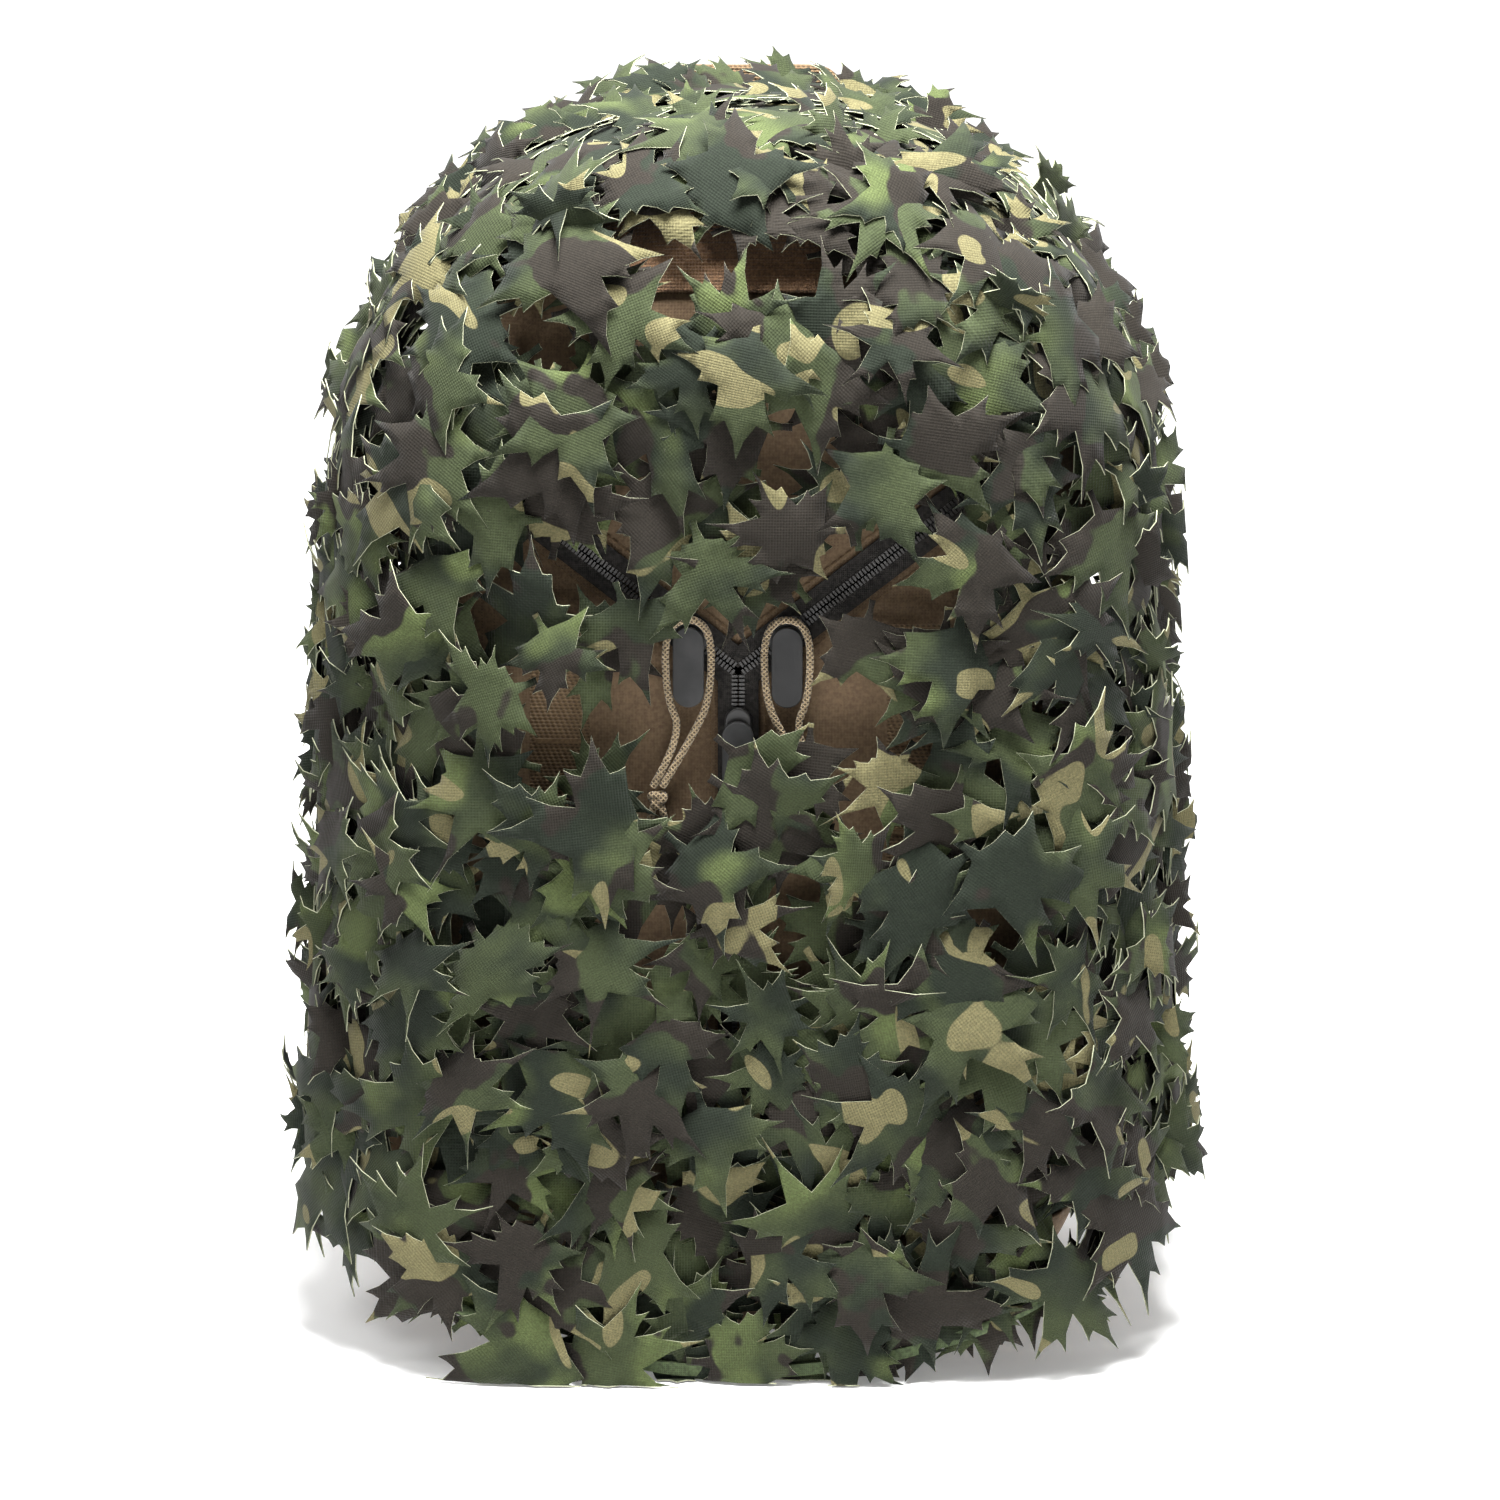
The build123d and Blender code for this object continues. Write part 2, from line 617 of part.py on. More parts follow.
REAR_HEM_RADIUS = 2.6
REAR_HEM_LOW = 84.0
hem_y = COVER_REAR_Y + REAR_HEM_RADIUS + 0.1
hem_top = HEIGHT + COVER_GAP + COVER_THICK / 2
with BuildPart() as cover_rear_hem:
    with BuildLine() as rear_edge:
        FilletPolyline(
            (-cover_half_width(REAR_HEM_LOW), hem_y, REAR_HEM_LOW),
            (-cover_half_width(hem_top), hem_y, hem_top),
            (cover_half_width(hem_top), hem_y, hem_top),
            (cover_half_width(REAR_HEM_LOW), hem_y, REAR_HEM_LOW),
            radius=TOP_CORNER + COVER_GAP + COVER_THICK / 2,
        )
    with BuildSketch(Plane(origin=rear_edge.line @ 0, z_dir=rear_edge.line % 0)):
        Circle(REAR_HEM_RADIUS)
    sweep()
save("cover_rear_hem", cover_rear_hem.part)

with BuildPart() as cover_lower_hem:
    add(cover_form(COVER_THICK + HEM_PROUD, COVER_REAR_Y))
    add(cover_form(-HEM_PROUD, COVER_REAR_Y + 1), mode=Mode.SUBTRACT)
    add(above_hem(0), mode=Mode.INTERSECT)
    add(above_hem(COVER_HEM_WIDE), mode=Mode.SUBTRACT)
save("cover_lower_hem", cover_lower_hem.part)
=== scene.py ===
"""Looks of the field pack and its leaf-cut cover. Metres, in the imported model's own frame.

+Z is up, -Y is the front with the zips, +X is the viewer's right, and the floor is z = 0.
"""

import json
import math
import random

import bmesh
import bpy
import numpy as np
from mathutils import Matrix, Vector, noise
from mathutils.geometry import delaunay_2d_cdt


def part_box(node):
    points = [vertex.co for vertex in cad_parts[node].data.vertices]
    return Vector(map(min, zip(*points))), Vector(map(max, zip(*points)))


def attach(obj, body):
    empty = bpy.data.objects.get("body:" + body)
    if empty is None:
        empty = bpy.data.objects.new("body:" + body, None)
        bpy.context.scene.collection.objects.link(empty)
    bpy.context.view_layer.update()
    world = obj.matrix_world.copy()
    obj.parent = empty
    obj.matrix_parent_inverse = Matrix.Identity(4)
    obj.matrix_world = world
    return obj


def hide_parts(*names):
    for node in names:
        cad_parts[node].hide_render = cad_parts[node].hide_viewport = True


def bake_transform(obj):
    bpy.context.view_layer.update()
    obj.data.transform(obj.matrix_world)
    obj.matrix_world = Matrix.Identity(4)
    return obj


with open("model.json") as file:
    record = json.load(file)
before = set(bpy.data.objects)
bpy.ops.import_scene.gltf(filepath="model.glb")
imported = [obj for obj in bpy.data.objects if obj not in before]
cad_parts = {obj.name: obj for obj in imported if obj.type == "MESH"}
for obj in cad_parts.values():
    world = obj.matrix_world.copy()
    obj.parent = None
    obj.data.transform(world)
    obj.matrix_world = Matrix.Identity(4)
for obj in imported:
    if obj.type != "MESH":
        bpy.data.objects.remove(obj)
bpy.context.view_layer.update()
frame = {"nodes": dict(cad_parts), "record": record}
NODES = frame["nodes"]
MM = 0.001
SIM_FRAMES = 20

# ---- the forms that the cloth follows ---------------------------------------------------------------
VEE_Z = 0.304  # where the three zips meet
VEE_SLOPE = math.radians(38)
SILL_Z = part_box("bottom_pan")[1][2]
PACK_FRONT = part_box("bottom_pan")[0][1]
PACK_HALF = 0.150  # half width at the floor
PACK_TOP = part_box("top_flap_panel")[1][2]
PACK_HALF_TOP = 0.143
COVER_LOW, COVER_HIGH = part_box("cover_front")


class Form:
    """A slab with tapered sides, a round-cornered top and a rounded front edge."""

    def __init__(self, half_low, half_top, top, front, corner, edge):
        self.half_low = half_low
        self.lean = math.atan2(half_low - half_top, top)
        self.top = top
        self.front = front
        self.corner = corner
        self.edge = edge

    def outline(self, x, z):
        """Signed distance from the front view's outline, positive outside."""
        side = (np.abs(x) - self.half_low) * math.cos(self.lean) + z * math.sin(self.lean)
        return self._rounded(side, z - self.top, self.corner)

    def distance(self, p):
        """Signed distance of points, an array of shape (n, 3), from the surface."""
        return self._rounded(self.outline(p[:, 0], p[:, 2]), self.front - p[:, 1], self.edge)

    @staticmethod
    def _rounded(a, b, r):
        inside = np.minimum(np.maximum(a + r, b + r), 0)
        return np.hypot(np.maximum(a + r, 0), np.maximum(b + r, 0)) + inside - r

    def normal(self, p):
        """The surface's outward direction nearest to each point."""
        step = 0.5 * MM
        gradient = np.empty_like(p)
        for axis in range(3):
            shift = np.zeros(3)
            shift[axis] = step
            gradient[:, axis] = self.distance(p + shift) - self.distance(p - shift)
        return gradient / np.linalg.norm(gradient, axis=1, keepdims=True)

    def lay(self, p, height):
        """Moves points straight onto the surface and then out to these heights above it."""
        for _ in range(2):
            normal = self.normal(p)
            p = p - normal * (self.distance(p) - height)[:, None]
        return p


pack_form = Form(PACK_HALF, PACK_HALF_TOP, PACK_TOP, PACK_FRONT, 0.128, 0.055)
cover_form = Form(0.191, 0.164, COVER_HIGH[2], COVER_LOW[1], 0.149, 0.090)


# ---- materials --------------------------------------------------------------------------------------
def srgb(red, green, blue):
    """A linear colour from the 0 to 255 values of a screen colour."""
    return tuple((c / 255) ** 2.2 for c in (red, green, blue)) + (1.0,)


class Shader:
    """A node material in the making."""

    def __init__(self, name, roughness=0.8, specular=0.3, metallic=0.0, sheen=0.0):
        self.material = bpy.data.materials.new(name)
        self.material.use_nodes = True
        self.tree = self.material.node_tree
        self.bsdf = self.tree.nodes["Principled BSDF"]
        self.bsdf.inputs["Roughness"].default_value = roughness
        self.bsdf.inputs["Specular IOR Level"].default_value = specular
        self.bsdf.inputs["Metallic"].default_value = metallic
        self.bsdf.inputs["Sheen Weight"].default_value = sheen
        self.bsdf.inputs["Sheen Roughness"].default_value = 0.5

    def add(self, kind, inputs=(), **settings):
        node = self.tree.nodes.new("ShaderNode" + kind)
        for key, value in settings.items():
            setattr(node, key, value)
        for socket, value in dict(inputs).items():
            if isinstance(value, bpy.types.NodeSocket):
                self.tree.links.new(value, node.inputs[socket])
            else:
                node.inputs[socket].default_value = value
        return node

    def place(self):
        """Where a point is on its own piece, at rest."""
        return self.add("TexCoord").outputs["Object"]

    def cloth(self):
        """Where a point of a leaf lies on the cloth it was cut from."""
        return self.add("Attribute", attribute_name="cloth").outputs["Vector"]

    def noise(self, where, scale, detail=2.0, stretch=(1, 1, 1), shift=0.0):
        moved = self.add(
            "Mapping",
            {"Vector": where, "Scale": stretch, "Location": (shift, 2 * shift, 3 * shift)},
        )
        made = self.add("TexNoise", {"Vector": moved.outputs[0], "Scale": scale, "Detail": detail})
        return made.outputs["Fac"]

    def ramp(self, value, low, high):
        """0 below low and 1 above high, smooth between."""
        made = self.add(
            "MapRange",
            {"Value": value, "From Min": low, "From Max": high},
            interpolation_type="SMOOTHSTEP",
        )
        return made.outputs["Result"]

    def mix(self, factor, a, b):
        made = self.add("Mix", data_type="RGBA")
        for socket, value in ((made.inputs[0], factor), (made.inputs[6], a), (made.inputs[7], b)):
            if isinstance(value, bpy.types.NodeSocket):
                self.tree.links.new(value, socket)
            else:
                socket.default_value = value
        return made.outputs[2]

    def math(self, operation, a, b=0.0, c=0.5):
        return self.add("Math", {0: a, 1: b, 2: c}, operation=operation).outputs[0]

    def weave(self, where, pitch):
        """Rounded crossings of warp and weft, pitch apart, as a height about 0.5."""
        turns = self.add("VectorMath", {0: where, 1: (math.tau / pitch,) * 3}, operation="MULTIPLY")
        waves = self.add("VectorMath", {0: turns.outputs[0]}, operation="SINE")
        split = self.add("SeparateXYZ", {0: waves.outputs[0]})
        total = self.math("ADD", split.outputs[0], split.outputs[1])
        total = self.math("ADD", total, split.outputs[2])
        return self.math("MULTIPLY_ADD", total, 0.25)

    def bump(self, height, strength, distance):
        made = self.add("Bump", {"Height": height, "Strength": strength, "Distance": distance})
        self.tree.links.new(made.outputs[0], self.bsdf.inputs["Normal"])

    def paint(self, colour):
        if isinstance(colour, bpy.types.NodeSocket):
            self.tree.links.new(colour, self.bsdf.inputs["Base Color"])
        else:
            self.bsdf.inputs["Base Color"].default_value = colour
        return self.material


def cloth_material(name, colour, light, pitch, sheen=0.04, fuzz=0.0):
    """Woven cloth: two tones in soft patches, with painted shade between its threads."""
    made = Shader(name, roughness=0.88, specular=0.12, sheen=sheen)
    where = made.place()
    weave = made.weave(where, pitch)
    patches = made.ramp(made.noise(where, 700, 6), 0.30, 0.70)
    shade = made.mix(patches, colour, light)
    # Painted shade: the cloth is darkened between its threads, where the weave's height is low.
    threads = made.ramp(weave, -0.35, 0.30)
    painted_gap_shade = tuple(c * 0.78 for c in colour[:3]) + (1.0,)
    colour_out = made.mix(threads, painted_gap_shade, shade)
    height = weave
    if fuzz:
        height = made.math("ADD", weave, made.noise(where, 1400, 3))
    made.bump(height, 0.3 + fuzz, 0.3 * MM)
    return made.paint(colour_out)


def plastic_material(name, colour, roughness, grain=1800):
    """Moulded plastic with a fine grain and slightly lighter worn patches."""
    made = Shader(name, roughness=roughness, specular=0.45)
    where = made.place()
    worn = made.ramp(made.noise(where, 60, 6), 0.45, 0.75)
    light = tuple(min(1.0, c * 1.5 + 0.01) for c in colour[:3]) + (1.0,)
    made.bump(made.noise(where, grain, 2), 0.25, 0.15 * MM)
    return made.paint(made.mix(worn, colour, light))


DARK = (0, 0, 0, 1)


def camouflage(name, under=False):
    """The printed leaf cloth. On its back, under, the print shows through, greyer and darker."""
    made = Shader(name, roughness=0.88, specular=0.12, sheen=0.03)
    where = made.cloth()
    greens = made.ramp(made.noise(where, 15, 3), 0.42, 0.58)
    colour = made.mix(greens, srgb(49, 55, 37), srgb(29, 34, 27))
    sprouts = made.ramp(made.noise(where, 19, 2, shift=7.7), 0.56, 0.68)
    colour = made.mix(sprouts, colour, srgb(66, 74, 46))
    browns = made.ramp(made.noise(where, 16, 3, shift=3.1), 0.530, 0.545)
    colour = made.mix(browns, colour, srgb(35, 32, 28))
    tans = made.ramp(made.noise(where, 27, 0.5, stretch=(1, 1.7, 1), shift=5.3), 0.660, 0.668)
    colour = made.mix(tans, colour, srgb(89, 85, 61))
    if under:
        colour = made.mix(0.5, colour, srgb(36, 38, 34))
    weave = made.weave(where, 1.2 * MM)
    grain = made.noise(where, 1100, 3)
    colour = made.mix(made.ramp(grain, 0.35, 0.70), made.mix(0.30, colour, DARK), colour)
    # Painted shade: the print is darkened by half between the threads, where the weave's height is low.
    threads = made.ramp(weave, -0.5, 0.35)
    colour = made.mix(threads, made.mix(0.5, colour, DARK), colour)
    crease = made.noise(where, 70, 4, shift=1.7)
    made.bump(made.math("ADD", weave, made.math("MULTIPLY", crease, 3.0)), 0.6, 0.4 * MM)
    return made.paint(colour)


COYOTE = cloth_material("coyote_cloth", srgb(80, 66, 52), srgb(94, 79, 62), 1.3 * MM)
LINING = cloth_material("lining_cloth", srgb(92, 75, 56), srgb(106, 87, 65), 0.7 * MM)
LOOP_PILE = cloth_material("loop_pile", srgb(70, 52, 37), srgb(92, 70, 50), 1.3 * MM, 0.3, 0.9)
ZIP_TAPE = cloth_material("zip_tape", srgb(28, 27, 26), srgb(44, 42, 40), 0.8 * MM)
PAD_MESH = cloth_material("spacer_mesh", srgb(84, 68, 50), srgb(104, 86, 64), 2.6 * MM, 0.3, 0.3)
HEM_CLOTH = cloth_material("hem_cloth", srgb(52, 60, 44), srgb(70, 80, 56), 0.9 * MM)
THREAD = cloth_material("thread", srgb(74, 60, 45), srgb(92, 76, 57), 0.4 * MM)


def webbing_material(name, colour, light):
    """Webbing: fine ribs across it over a coarse herringbone, with painted shade where they are low."""
    made = Shader(name, roughness=0.85, specular=0.15, sheen=0.04)
    where = made.place()
    split = made.add("SeparateXYZ", {0: where})
    ribs = made.math("SINE", made.math("MULTIPLY", split.outputs[2], math.tau / (1.5 * MM)))
    slant = made.math("ADD", split.outputs[0], made.math("MULTIPLY", split.outputs[2], 0.4))
    cords = made.math("SINE", made.math("MULTIPLY", slant, math.tau / (2.2 * MM)))
    height = made.math("MULTIPLY_ADD", cords, 0.8, ribs)
    made.bump(height, 0.6, 0.4 * MM)
    shade = made.mix(made.noise(where, 500, 4), colour, light)
    # Painted shade: the webbing is darkened where its ribs and cords are low.
    painted_gap_shade = tuple(c * 0.62 for c in colour[:3]) + (1.0,)
    return made.paint(made.mix(made.ramp(height, -1.1, 0.2), painted_gap_shade, shade))


WEBBING = webbing_material("webbing", srgb(78, 64, 48), srgb(98, 81, 61))
BUCKLE = plastic_material("buckle_plastic", srgb(100, 80, 60), 0.5)
BLACK_RUBBER = plastic_material("pull_rubber", srgb(20, 20, 20), 0.7)
BLACK_METAL = plastic_material("slider_metal", srgb(34, 33, 32), 0.35, 900)
FRAME_SHEET = plastic_material("frame_sheet", srgb(28, 28, 30), 0.5)
ZIP_COIL = plastic_material("zip_coil", srgb(44, 42, 40), 0.35)
LEAF = camouflage("leaf_cloth")
LEAF_BACK = camouflage("leaf_cloth_back", under=True)
LEAF_EDGE = Shader("leaf_cut_edge", roughness=0.7).paint(srgb(132, 134, 112))


def braid_material():
    """Braided cord: strands that cross both ways, tan on their backs, with painted shade between them.
    """
    made = Shader("braided_cord", roughness=0.75, specular=0.3, sheen=0.2)
    split = made.add("SeparateXYZ", {0: made.place()})
    waves = []
    for operation in ("ADD", "SUBTRACT"):
        slant = made.math(operation, split.outputs[2], split.outputs[0])
        waves.append(made.math("SINE", made.math("MULTIPLY", slant, math.tau / (2.0 * MM))))
    height = made.math("MAXIMUM", waves[0], waves[1])
    shade = made.mix(made.noise(made.place(), 300, 3), srgb(118, 102, 77), srgb(150, 133, 104))
    made.bump(height, 0.8, 0.5 * MM)
    # Painted shade: dark brown where the strands' height is low, between them.
    return made.paint(made.mix(made.ramp(height, -0.3, 0.6), srgb(62, 50, 36), shade))


BRAID = braid_material()


def stay_material():
    """Brushed aluminium, its scratches along the stay."""
    made = Shader("brushed_aluminium", roughness=0.38, metallic=1.0)
    scratches = made.noise(made.place(), 900, 3, stretch=(1, 1, 0.02))
    made.bump(scratches, 0.2, 0.1 * MM)
    return made.paint(made.mix(scratches, srgb(170, 172, 175), srgb(205, 206, 208)))


# ---- making pieces ----------------------------------------------------------------------------------
def body_of(node):
    for body, members in frame["record"]["behaviour"]["bodies"].items():
        if node in members:
            return body
    raise KeyError(node)


def middle_of(node, axis):
    low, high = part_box(node)
    return (low[axis] + high[axis]) / 2


def piece(name, verts, faces, materials, body):
    """A new mesh piece on a body, smooth-shaded."""
    mesh = bpy.data.meshes.new(name)
    mesh.from_pydata([tuple(v) for v in verts], [], [tuple(f) for f in faces])
    mesh.shade_smooth()
    return finish_piece(name, mesh, materials, body)


def finish_piece(name, mesh, materials, body):
    """A mesh's piece, riding on a body unless there is none for it."""
    obj = bpy.data.objects.new(name, mesh)
    bpy.context.scene.collection.objects.link(obj)
    mesh.materials.clear()
    for material in materials:
        mesh.materials.append(material)
    if body:
        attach(obj, body)
    return obj


def merged_copy(node, longest=None):
    """A CAD node's mesh with its seams joined, and its long edges split if asked."""
    work = bmesh.new()
    work.from_mesh(NODES[node].data)
    bmesh.ops.remove_doubles(work, verts=work.verts, dist=0.00002)
    bmesh.ops.triangulate(work, faces=work.faces)
    for _ in range(8 if longest else 0):
        long_edges = [e for e in work.edges if e.calc_length() > longest]
        if not long_edges:
            break
        bmesh.ops.subdivide_edges(work, edges=long_edges, cuts=1)
        bmesh.ops.triangulate(work, faces=[f for f in work.faces if len(f.verts) > 3])
    mesh = bpy.data.meshes.new(node + "_mesh")
    work.to_mesh(mesh)
    work.free()
    return mesh


def applied(obj):
    """The mesh that an object's modifiers make."""
    graph = bpy.context.evaluated_depsgraph_get()
    return bpy.data.meshes.new_from_object(obj.evaluated_get(graph), depsgraph=graph)


def remeshed(mesh, voxel, smooth=2):
    """Even quads over the same shape, with its edges softened."""
    work = bpy.data.objects.new("work", mesh)
    bpy.context.scene.collection.objects.link(work)
    remesh = work.modifiers.new("voxels", "REMESH")
    remesh.mode = "VOXEL"
    remesh.voxel_size = voxel
    relax = work.modifiers.new("relax", "SMOOTH")
    relax.iterations = smooth
    relax.factor = 0.5
    result = applied(work)
    bpy.data.objects.remove(work)
    result.shade_smooth()
    return result


def coordinates(mesh):
    flat = np.empty(len(mesh.vertices) * 3)
    mesh.vertices.foreach_get("co", flat)
    return flat.reshape(-1, 3)


def set_coordinates(mesh, points):
    mesh.vertices.foreach_set("co", points.astype(np.float32).ravel())
    mesh.update()


def ruffle(mesh, amount, size):
    """Moves points by a smooth random amount along their normals."""
    points = coordinates(mesh)
    for index, vertex in enumerate(mesh.vertices):
        place = Vector(points[index]) / size
        push = noise.noise(place) + 0.5 * noise.noise(place * 2.3)
        points[index] += np.array(vertex.normal) * push * amount
    set_coordinates(mesh, points)


WALL_WRINKLES = 45 * MM  # how wide the wrinkles of a wall are
BAND_WAVES = 20 * MM  # the same for a band
OFF_FLOOR = 0.2 * MM


def soft_copy(node, material, voxel=2.4 * MM, wrinkle=0.8 * MM):
    """A softened, wrinkled copy of a soft CAD node, shown in its place."""
    mesh = remeshed(merged_copy(node), voxel)
    ruffle(mesh, wrinkle, WALL_WRINKLES)
    points = coordinates(mesh)
    points[:, 2] = np.maximum(points[:, 2], OFF_FLOOR)
    set_coordinates(mesh, points)
    obj = finish_piece(node + "_cloth", mesh, [material], body_of(node))
    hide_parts(node)


def puffed(mesh, held, most, pressure):
    """The mesh after a short cloth simulation that fills it out, its held points fixed."""
    scene = bpy.context.scene
    start = coordinates(mesh)
    work = bpy.data.objects.new("work", mesh)
    scene.collection.objects.link(work)
    group = work.vertex_groups.new(name="held")
    group.add([int(i) for i in np.nonzero(held(start))[0]], 1.0, "REPLACE")
    cloth = work.modifiers.new("cloth", "CLOTH")
    cloth.settings.quality = 4
    cloth.settings.mass = 0.15
    cloth.settings.use_pressure = True
    cloth.settings.uniform_pressure_force = pressure
    cloth.settings.vertex_group_mass = "held"
    cloth.settings.shrink_min = -0.07
    cloth.settings.bending_stiffness = 0.3
    cloth.settings.effector_weights.gravity = 0
    cloth.point_cache.frame_start = 1
    cloth.point_cache.frame_end = SIM_FRAMES
    for frame_number in range(1, SIM_FRAMES + 1):
        scene.frame_set(frame_number)
    result = applied(work)
    scene.frame_set(1)
    bpy.data.objects.remove(work)
    moved = coordinates(result) - start
    far = np.linalg.norm(moved, axis=1, keepdims=True)
    moved *= np.minimum(1, most / np.maximum(far, 1e-9))
    set_coordinates(result, start + moved)
    result.shade_smooth()
    return result


def padded_copy(node, material, held, voxel=5 * MM, most=3 * MM, pressure=4.0):
    """A pad's copy, filled out by simulation and subdivided once, shown in its place."""
    mesh = puffed(remeshed(merged_copy(node), voxel, 1), held, most, pressure)
    obj = finish_piece(node + "_cloth", mesh, [material], body_of(node))
    smooth = obj.modifiers.new("smooth", "SUBSURF")
    smooth.levels = smooth.render_levels = 1
    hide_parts(node)


FLAP_EDGE = 1.5 * MM  # how much of a flap, next to its fold, counts as its edge
FLAP_LAP = 1.6 * MM  # how far that edge goes into the seam of the wall that it folds at


def folding_copy(flap, held):
    """A front flap's filled-out cloth, with its edge next to the fold moved into the seam of the fixed
    wall that it meets.
    """
    node = flap + "_panel"
    mesh = puffed(remeshed(merged_copy(node), 3 * MM, 1), held, 1.6 * MM, 3.0)
    fold_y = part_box(node)[1][1]
    for vertex in mesh.vertices:
        if vertex.co.y > fold_y - FLAP_EDGE:
            vertex.co.y += FLAP_LAP
    obj = finish_piece(node + "_cloth", mesh, [COYOTE], None)
    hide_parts(node)
    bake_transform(obj)


def flat_copy(node, material, wrinkle=0.25 * MM):
    """A copy of a thin CAD band, slightly wavy, shown in its place."""
    mesh = merged_copy(node, 6 * MM)
    ruffle(mesh, wrinkle, BAND_WAVES)
    obj = finish_piece(node + "_band", mesh, [material], body_of(node))
    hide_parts(node)


def repaint(node, material, bevel):
    """A CAD node that stays, with a better material and its sharp edges eased."""
    obj = NODES[node]
    for entry in obj.material_slots:
        entry.material = material
    eased = obj.modifiers.new("eased", "BEVEL")
    eased.width = bevel
    eased.segments = 2
    eased.limit_method = "ANGLE"


# ---- the leaves -------------------------------------------------------------------------------------
def polar(centre, angle, radius):
    """A point at an angle from straight up, clockwise, in degrees."""
    turn = math.radians(angle)
    return (centre[0] + radius * math.sin(turn), centre[1] + radius * math.cos(turn))


def maple_outline(rng, spread, lengths, toothed):
    """A leaf about 1 long, its stalk at the origin. Each lobe is a spike, mostly with side teeth."""
    heart = (0.0, 0.36)
    points = [(-0.028, -0.05), (-0.040, 0.12)]
    step = 2 * spread / (len(lengths) - 1)
    for index, length in enumerate(lengths):
        aim = -spread + index * step + rng.uniform(-8, 8)
        reach = length * rng.uniform(0.86, 1.12)
        if index:
            points.append(polar(heart, aim - step / 2, rng.uniform(0.17, 0.27)))
        if rng.random() < toothed:
            points.append(polar(heart, aim - step * 0.31, reach * rng.uniform(0.62, 0.76)))
            points.append(polar(heart, aim - step * 0.17, reach * 0.60))
        points.append(polar(heart, aim, reach))
        if rng.random() < toothed:
            points.append(polar(heart, aim + step * 0.17, reach * 0.60))
            points.append(polar(heart, aim + step * 0.31, reach * rng.uniform(0.62, 0.76)))
    points += [(0.040, 0.12), (0.028, -0.05)]
    return bowed(points, -0.06)


def bowed(points, depth):
    """The outline with each of its edges bowed inwards a little."""
    result = []
    for here, after in zip(points, points[1:] + points[:1]):
        run = (after[0] - here[0], after[1] - here[1])
        middle_x = (here[0] + after[0]) / 2 - run[1] * depth
        middle_y = (here[1] + after[1]) / 2 + run[0] * depth
        result += [here, (middle_x, middle_y)]
    return result


def inside(point, outline):
    """Whether a point is in a polygon."""
    x, y = point
    odd = False
    for (ax, ay), (bx, by) in zip(outline, outline[1:] + outline[:1]):
        if (ay > y) != (by > y) and x < (bx - ax) * (y - ay) / (by - ay) + ax:
            odd = not odd
    return odd


def leaf_template(outline, cell=0.105):
    """A leaf's flat mesh: (points, triangles), fine enough to curl."""
    grid = []
    for i in range(-9, 10):
        for j in range(-2, 12):
            spot = ((i + 0.5 * (j % 2)) * cell, j * cell)
            near = min((spot[0] - p[0]) ** 2 + (spot[1] - p[1]) ** 2 for p in outline)
            if near > (0.45 * cell) ** 2 and inside(spot, outline):
                grid.append(spot)
    count = len(outline)
    edges = [(i, (i + 1) % count) for i in range(count)]
    points, _, faces, *_ = delaunay_2d_cdt([Vector(p) for p in outline + grid], edges, [], 1, 1e-6)
    flat = np.array([tuple(p) for p in points])
    return flat, np.array(faces)


def leaf_kinds(seed):
    """Templates of all the leaves, from how many of each family there are and how it is cut."""
    rng = random.Random(seed)
    families = (
        (5, 126, (0.46, 0.60, 0.68, 0.60, 0.46), 0.75),
        (3, 84, (0.56, 0.70, 0.56), 0.9),
        (3, 135, (0.44, 0.56, 0.64, 0.66, 0.56, 0.44), 0.35),
        (3, 112, (0.50, 0.66, 0.66, 0.50), 0.7),
    )
    outlines = []
    for count, spread, lengths, toothed in families:
        outlines += [maple_outline(rng, spread, lengths, toothed) for _ in range(count)]
    return [leaf_template(outline) for outline in outlines]


LEAVES = leaf_kinds(11)


PULL_X = 0.0205  # where the slanting zips' sliders rest
PULL_Z = 0.320
WINDOWS = (  # gaps in the leaves on the front: both ends of a gap's middle line, and its half width
    ((-PULL_X, 0.318), (-PULL_X, 0.296), 0.013),
    ((-PULL_X - 0.006, 0.276), (-PULL_X - 0.012, 0.254), 0.012),
    ((PULL_X, 0.320), (PULL_X, 0.300), 0.012),
    ((-0.002, 0.288), (-0.002, 0.270), 0.006),
    ((-0.072, 0.360), (-0.058, 0.344), 0.008),
    ((0.046, 0.342), (0.062, 0.356), 0.008),
    ((-0.034, 0.356), (-0.024, 0.351), 0.007),
    ((0.064, 0.334), (0.084, 0.333), 0.008),
    ((-0.108, 0.328), (-0.092, 0.324), 0.006),
    ((-0.075, 0.294), (-0.074, 0.274), 0.010),
    ((0.042, 0.302), (0.045, 0.288), 0.009),
    ((0.050, 0.258), (0.056, 0.252), 0.007),
    ((-0.040, 0.204), (-0.028, 0.203), 0.008),
    ((0.026, 0.214), (0.029, 0.202), 0.008),
    ((0.110, 0.214), (0.114, 0.186), 0.006),
    ((-0.044, 0.484), (-0.036, 0.487), 0.008),
    ((0.006, 0.471), (0.024, 0.473), 0.008),
    ((-0.086, 0.448), (-0.072, 0.444), 0.009),
    ((-0.028, 0.456), (-0.014, 0.457), 0.007),
    ((-0.044, 0.404), (-0.034, 0.401), 0.008),
    ((0.010, 0.402), (0.024, 0.398), 0.008),
)


